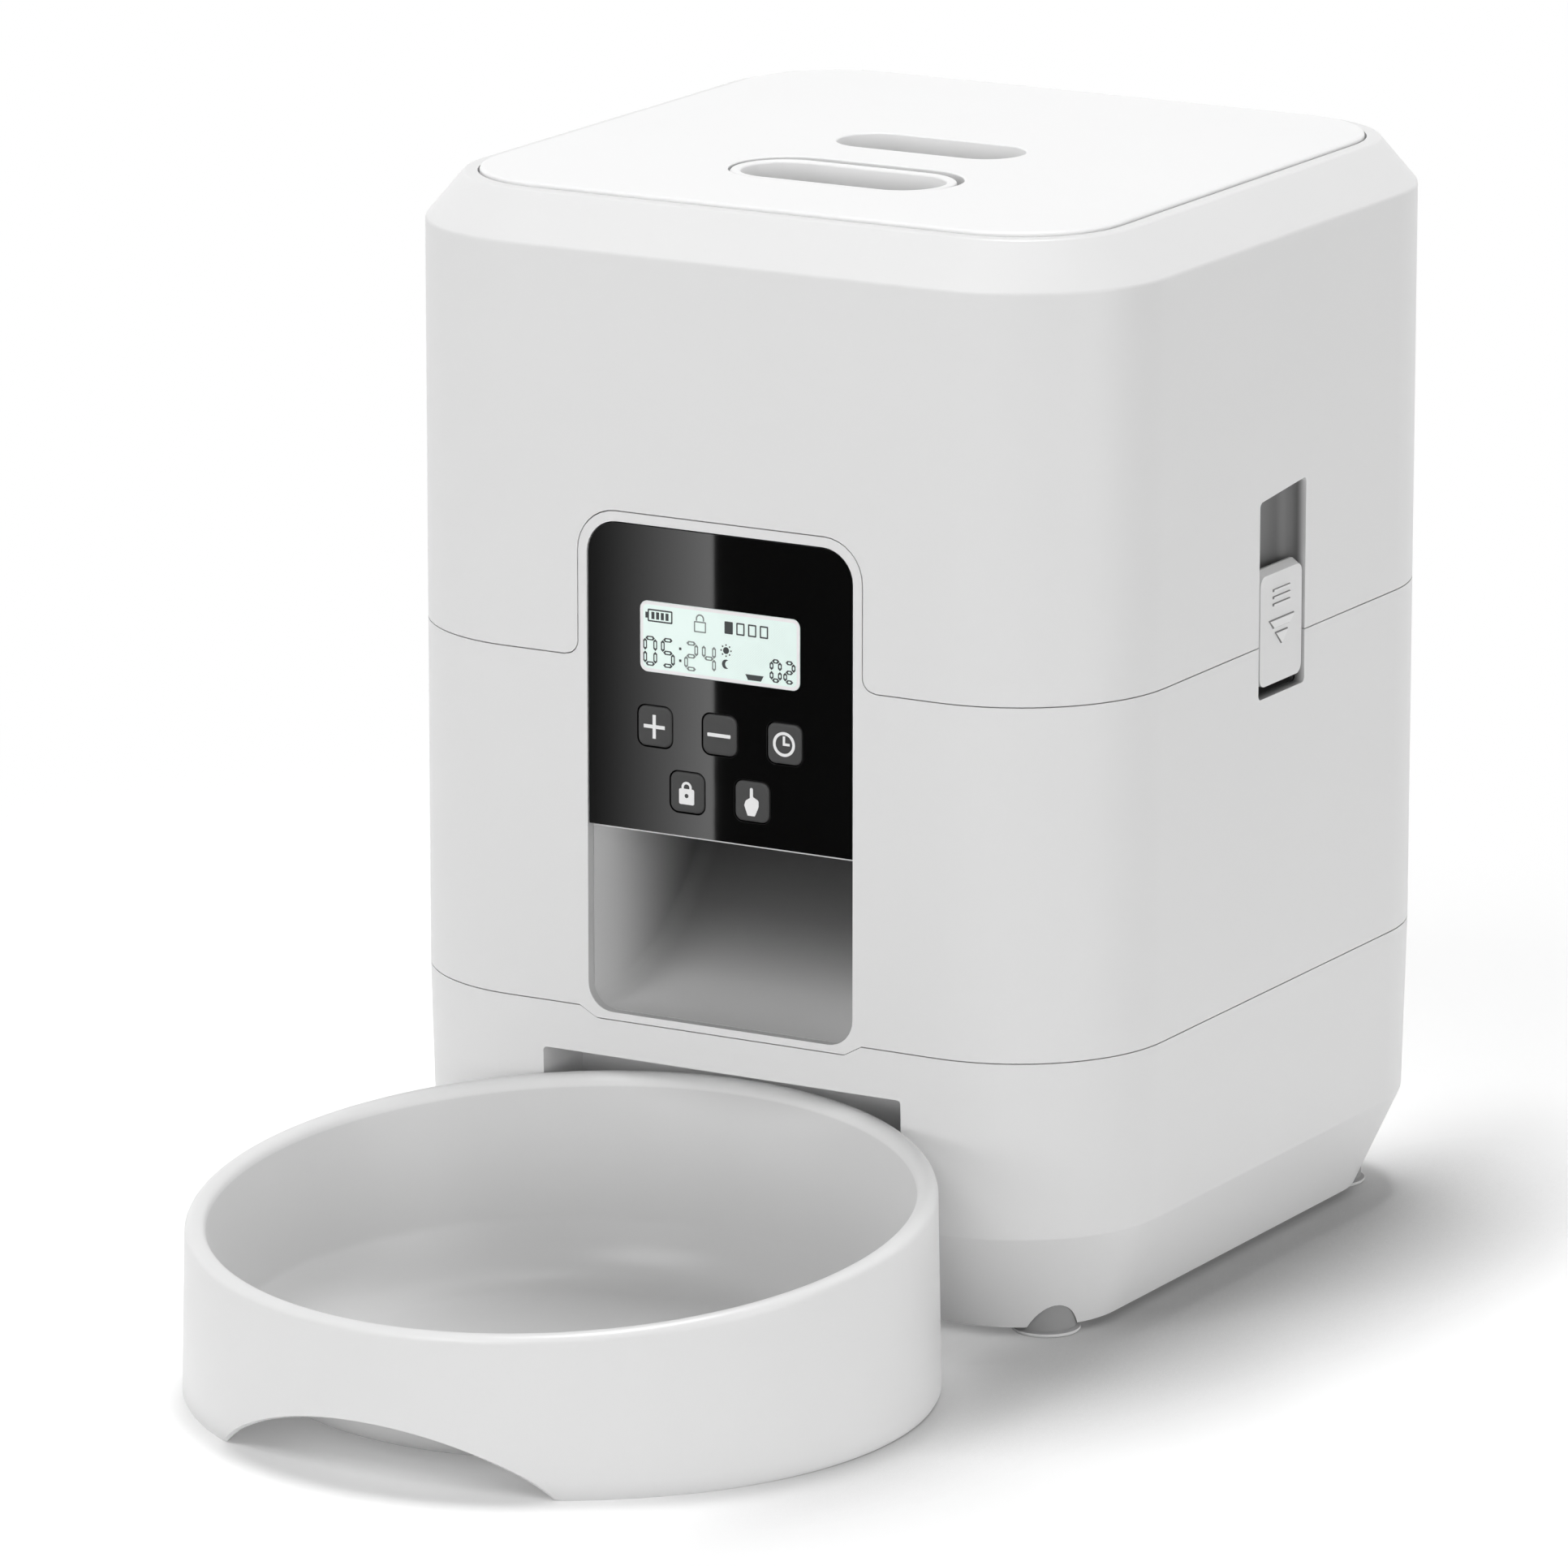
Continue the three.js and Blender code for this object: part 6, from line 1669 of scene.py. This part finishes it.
def panel_glow(tree):
    """Rises along X from the card's left edge to a sharp edge, then drops to nothing."""
    x = object_axes(tree)[0]
    rise = ramp(tree, x, CARD_GLOW_FROM * MM, CARD_GLOW_TO * MM, smooth=False)
    curved = calculate(tree, "POWER", rise, CARD_GLOW_POWER)
    glow = calculate(tree, "MULTIPLY_ADD", curved, CARD_GLOW, CARD_GLOW_LOW)
    return times(tree, glow, calculate(tree, "LESS_THAN", x, CARD_GLOW_TO * MM))


def upright_card(name, azimuth, distance, half_width, low, high, level):
    """An upright card round the body with an even glow. Azimuth 0 is in front and 90 to the right."""
    turn = math.radians(azimuth)
    out = np.array([math.sin(turn), -math.cos(turn)]) * distance
    along = np.array([math.cos(turn), math.sin(turn)]) * half_width
    corners = [(*(out - along), low), (*(out + along), low), (*(out + along), high), (*(out - along), high)]
    add_card(name, corners, level)


def add_world():
    """White where it is seen. As a light it is bright near the horizon and dim overhead, for the lamp."""
    world = bpy.data.worlds.new("studio")
    world.use_nodes = True
    bpy.context.scene.world = world
    tree = world.node_tree
    backdrop = tree.nodes["Background"].inputs
    backdrop["Color"].default_value = (1, 1, 1, 1)
    direction = tree.nodes.new("ShaderNodeTexCoord").outputs["Generated"]
    height = fed(tree, "ShaderNodeSeparateXYZ", Vector=direction).outputs["Z"]
    start, end = (math.sin(math.radians(angle)) for angle in (SKY_BRIGHT_TO, SKY_DIM_FROM))
    sky = ramp(tree, height, start, end, low=SKY_BRIGHT, high=SKY_DIM)
    feed(tree, backdrop["Strength"], mixed(tree, sky, 1.0, seen_ray(tree)))


def studio():
    add_camera()
    add_floor()
    add_world()
    add_lamp("key", KEY_LAMP_PLACE, KEY_LAMP_SIZE, KEY_LAMP_POWER)
    add_lamp("front", FRONT_LAMP_PLACE, FRONT_LAMP_SIZE, FRONT_LAMP_POWER)
    add_lamp("fill", FILL_LAMP_PLACE, FILL_LAMP_SIZE, FILL_LAMP_POWER)
    low, high = CARD_HEIGHTS
    add_card("panel_card", [(CARD_LEFT, CARD_Y, low), (CARD_RIGHT, CARD_Y, low), (CARD_RIGHT, CARD_Y, high),
                            (CARD_LEFT, CARD_Y, high)], panel_glow)
    upright_card("corner_strip", *STRIP_CARD)
    upright_card("corner_shade", *SHADE_CARD)
    bpy.context.scene.view_settings.view_transform = "Standard"


studio()
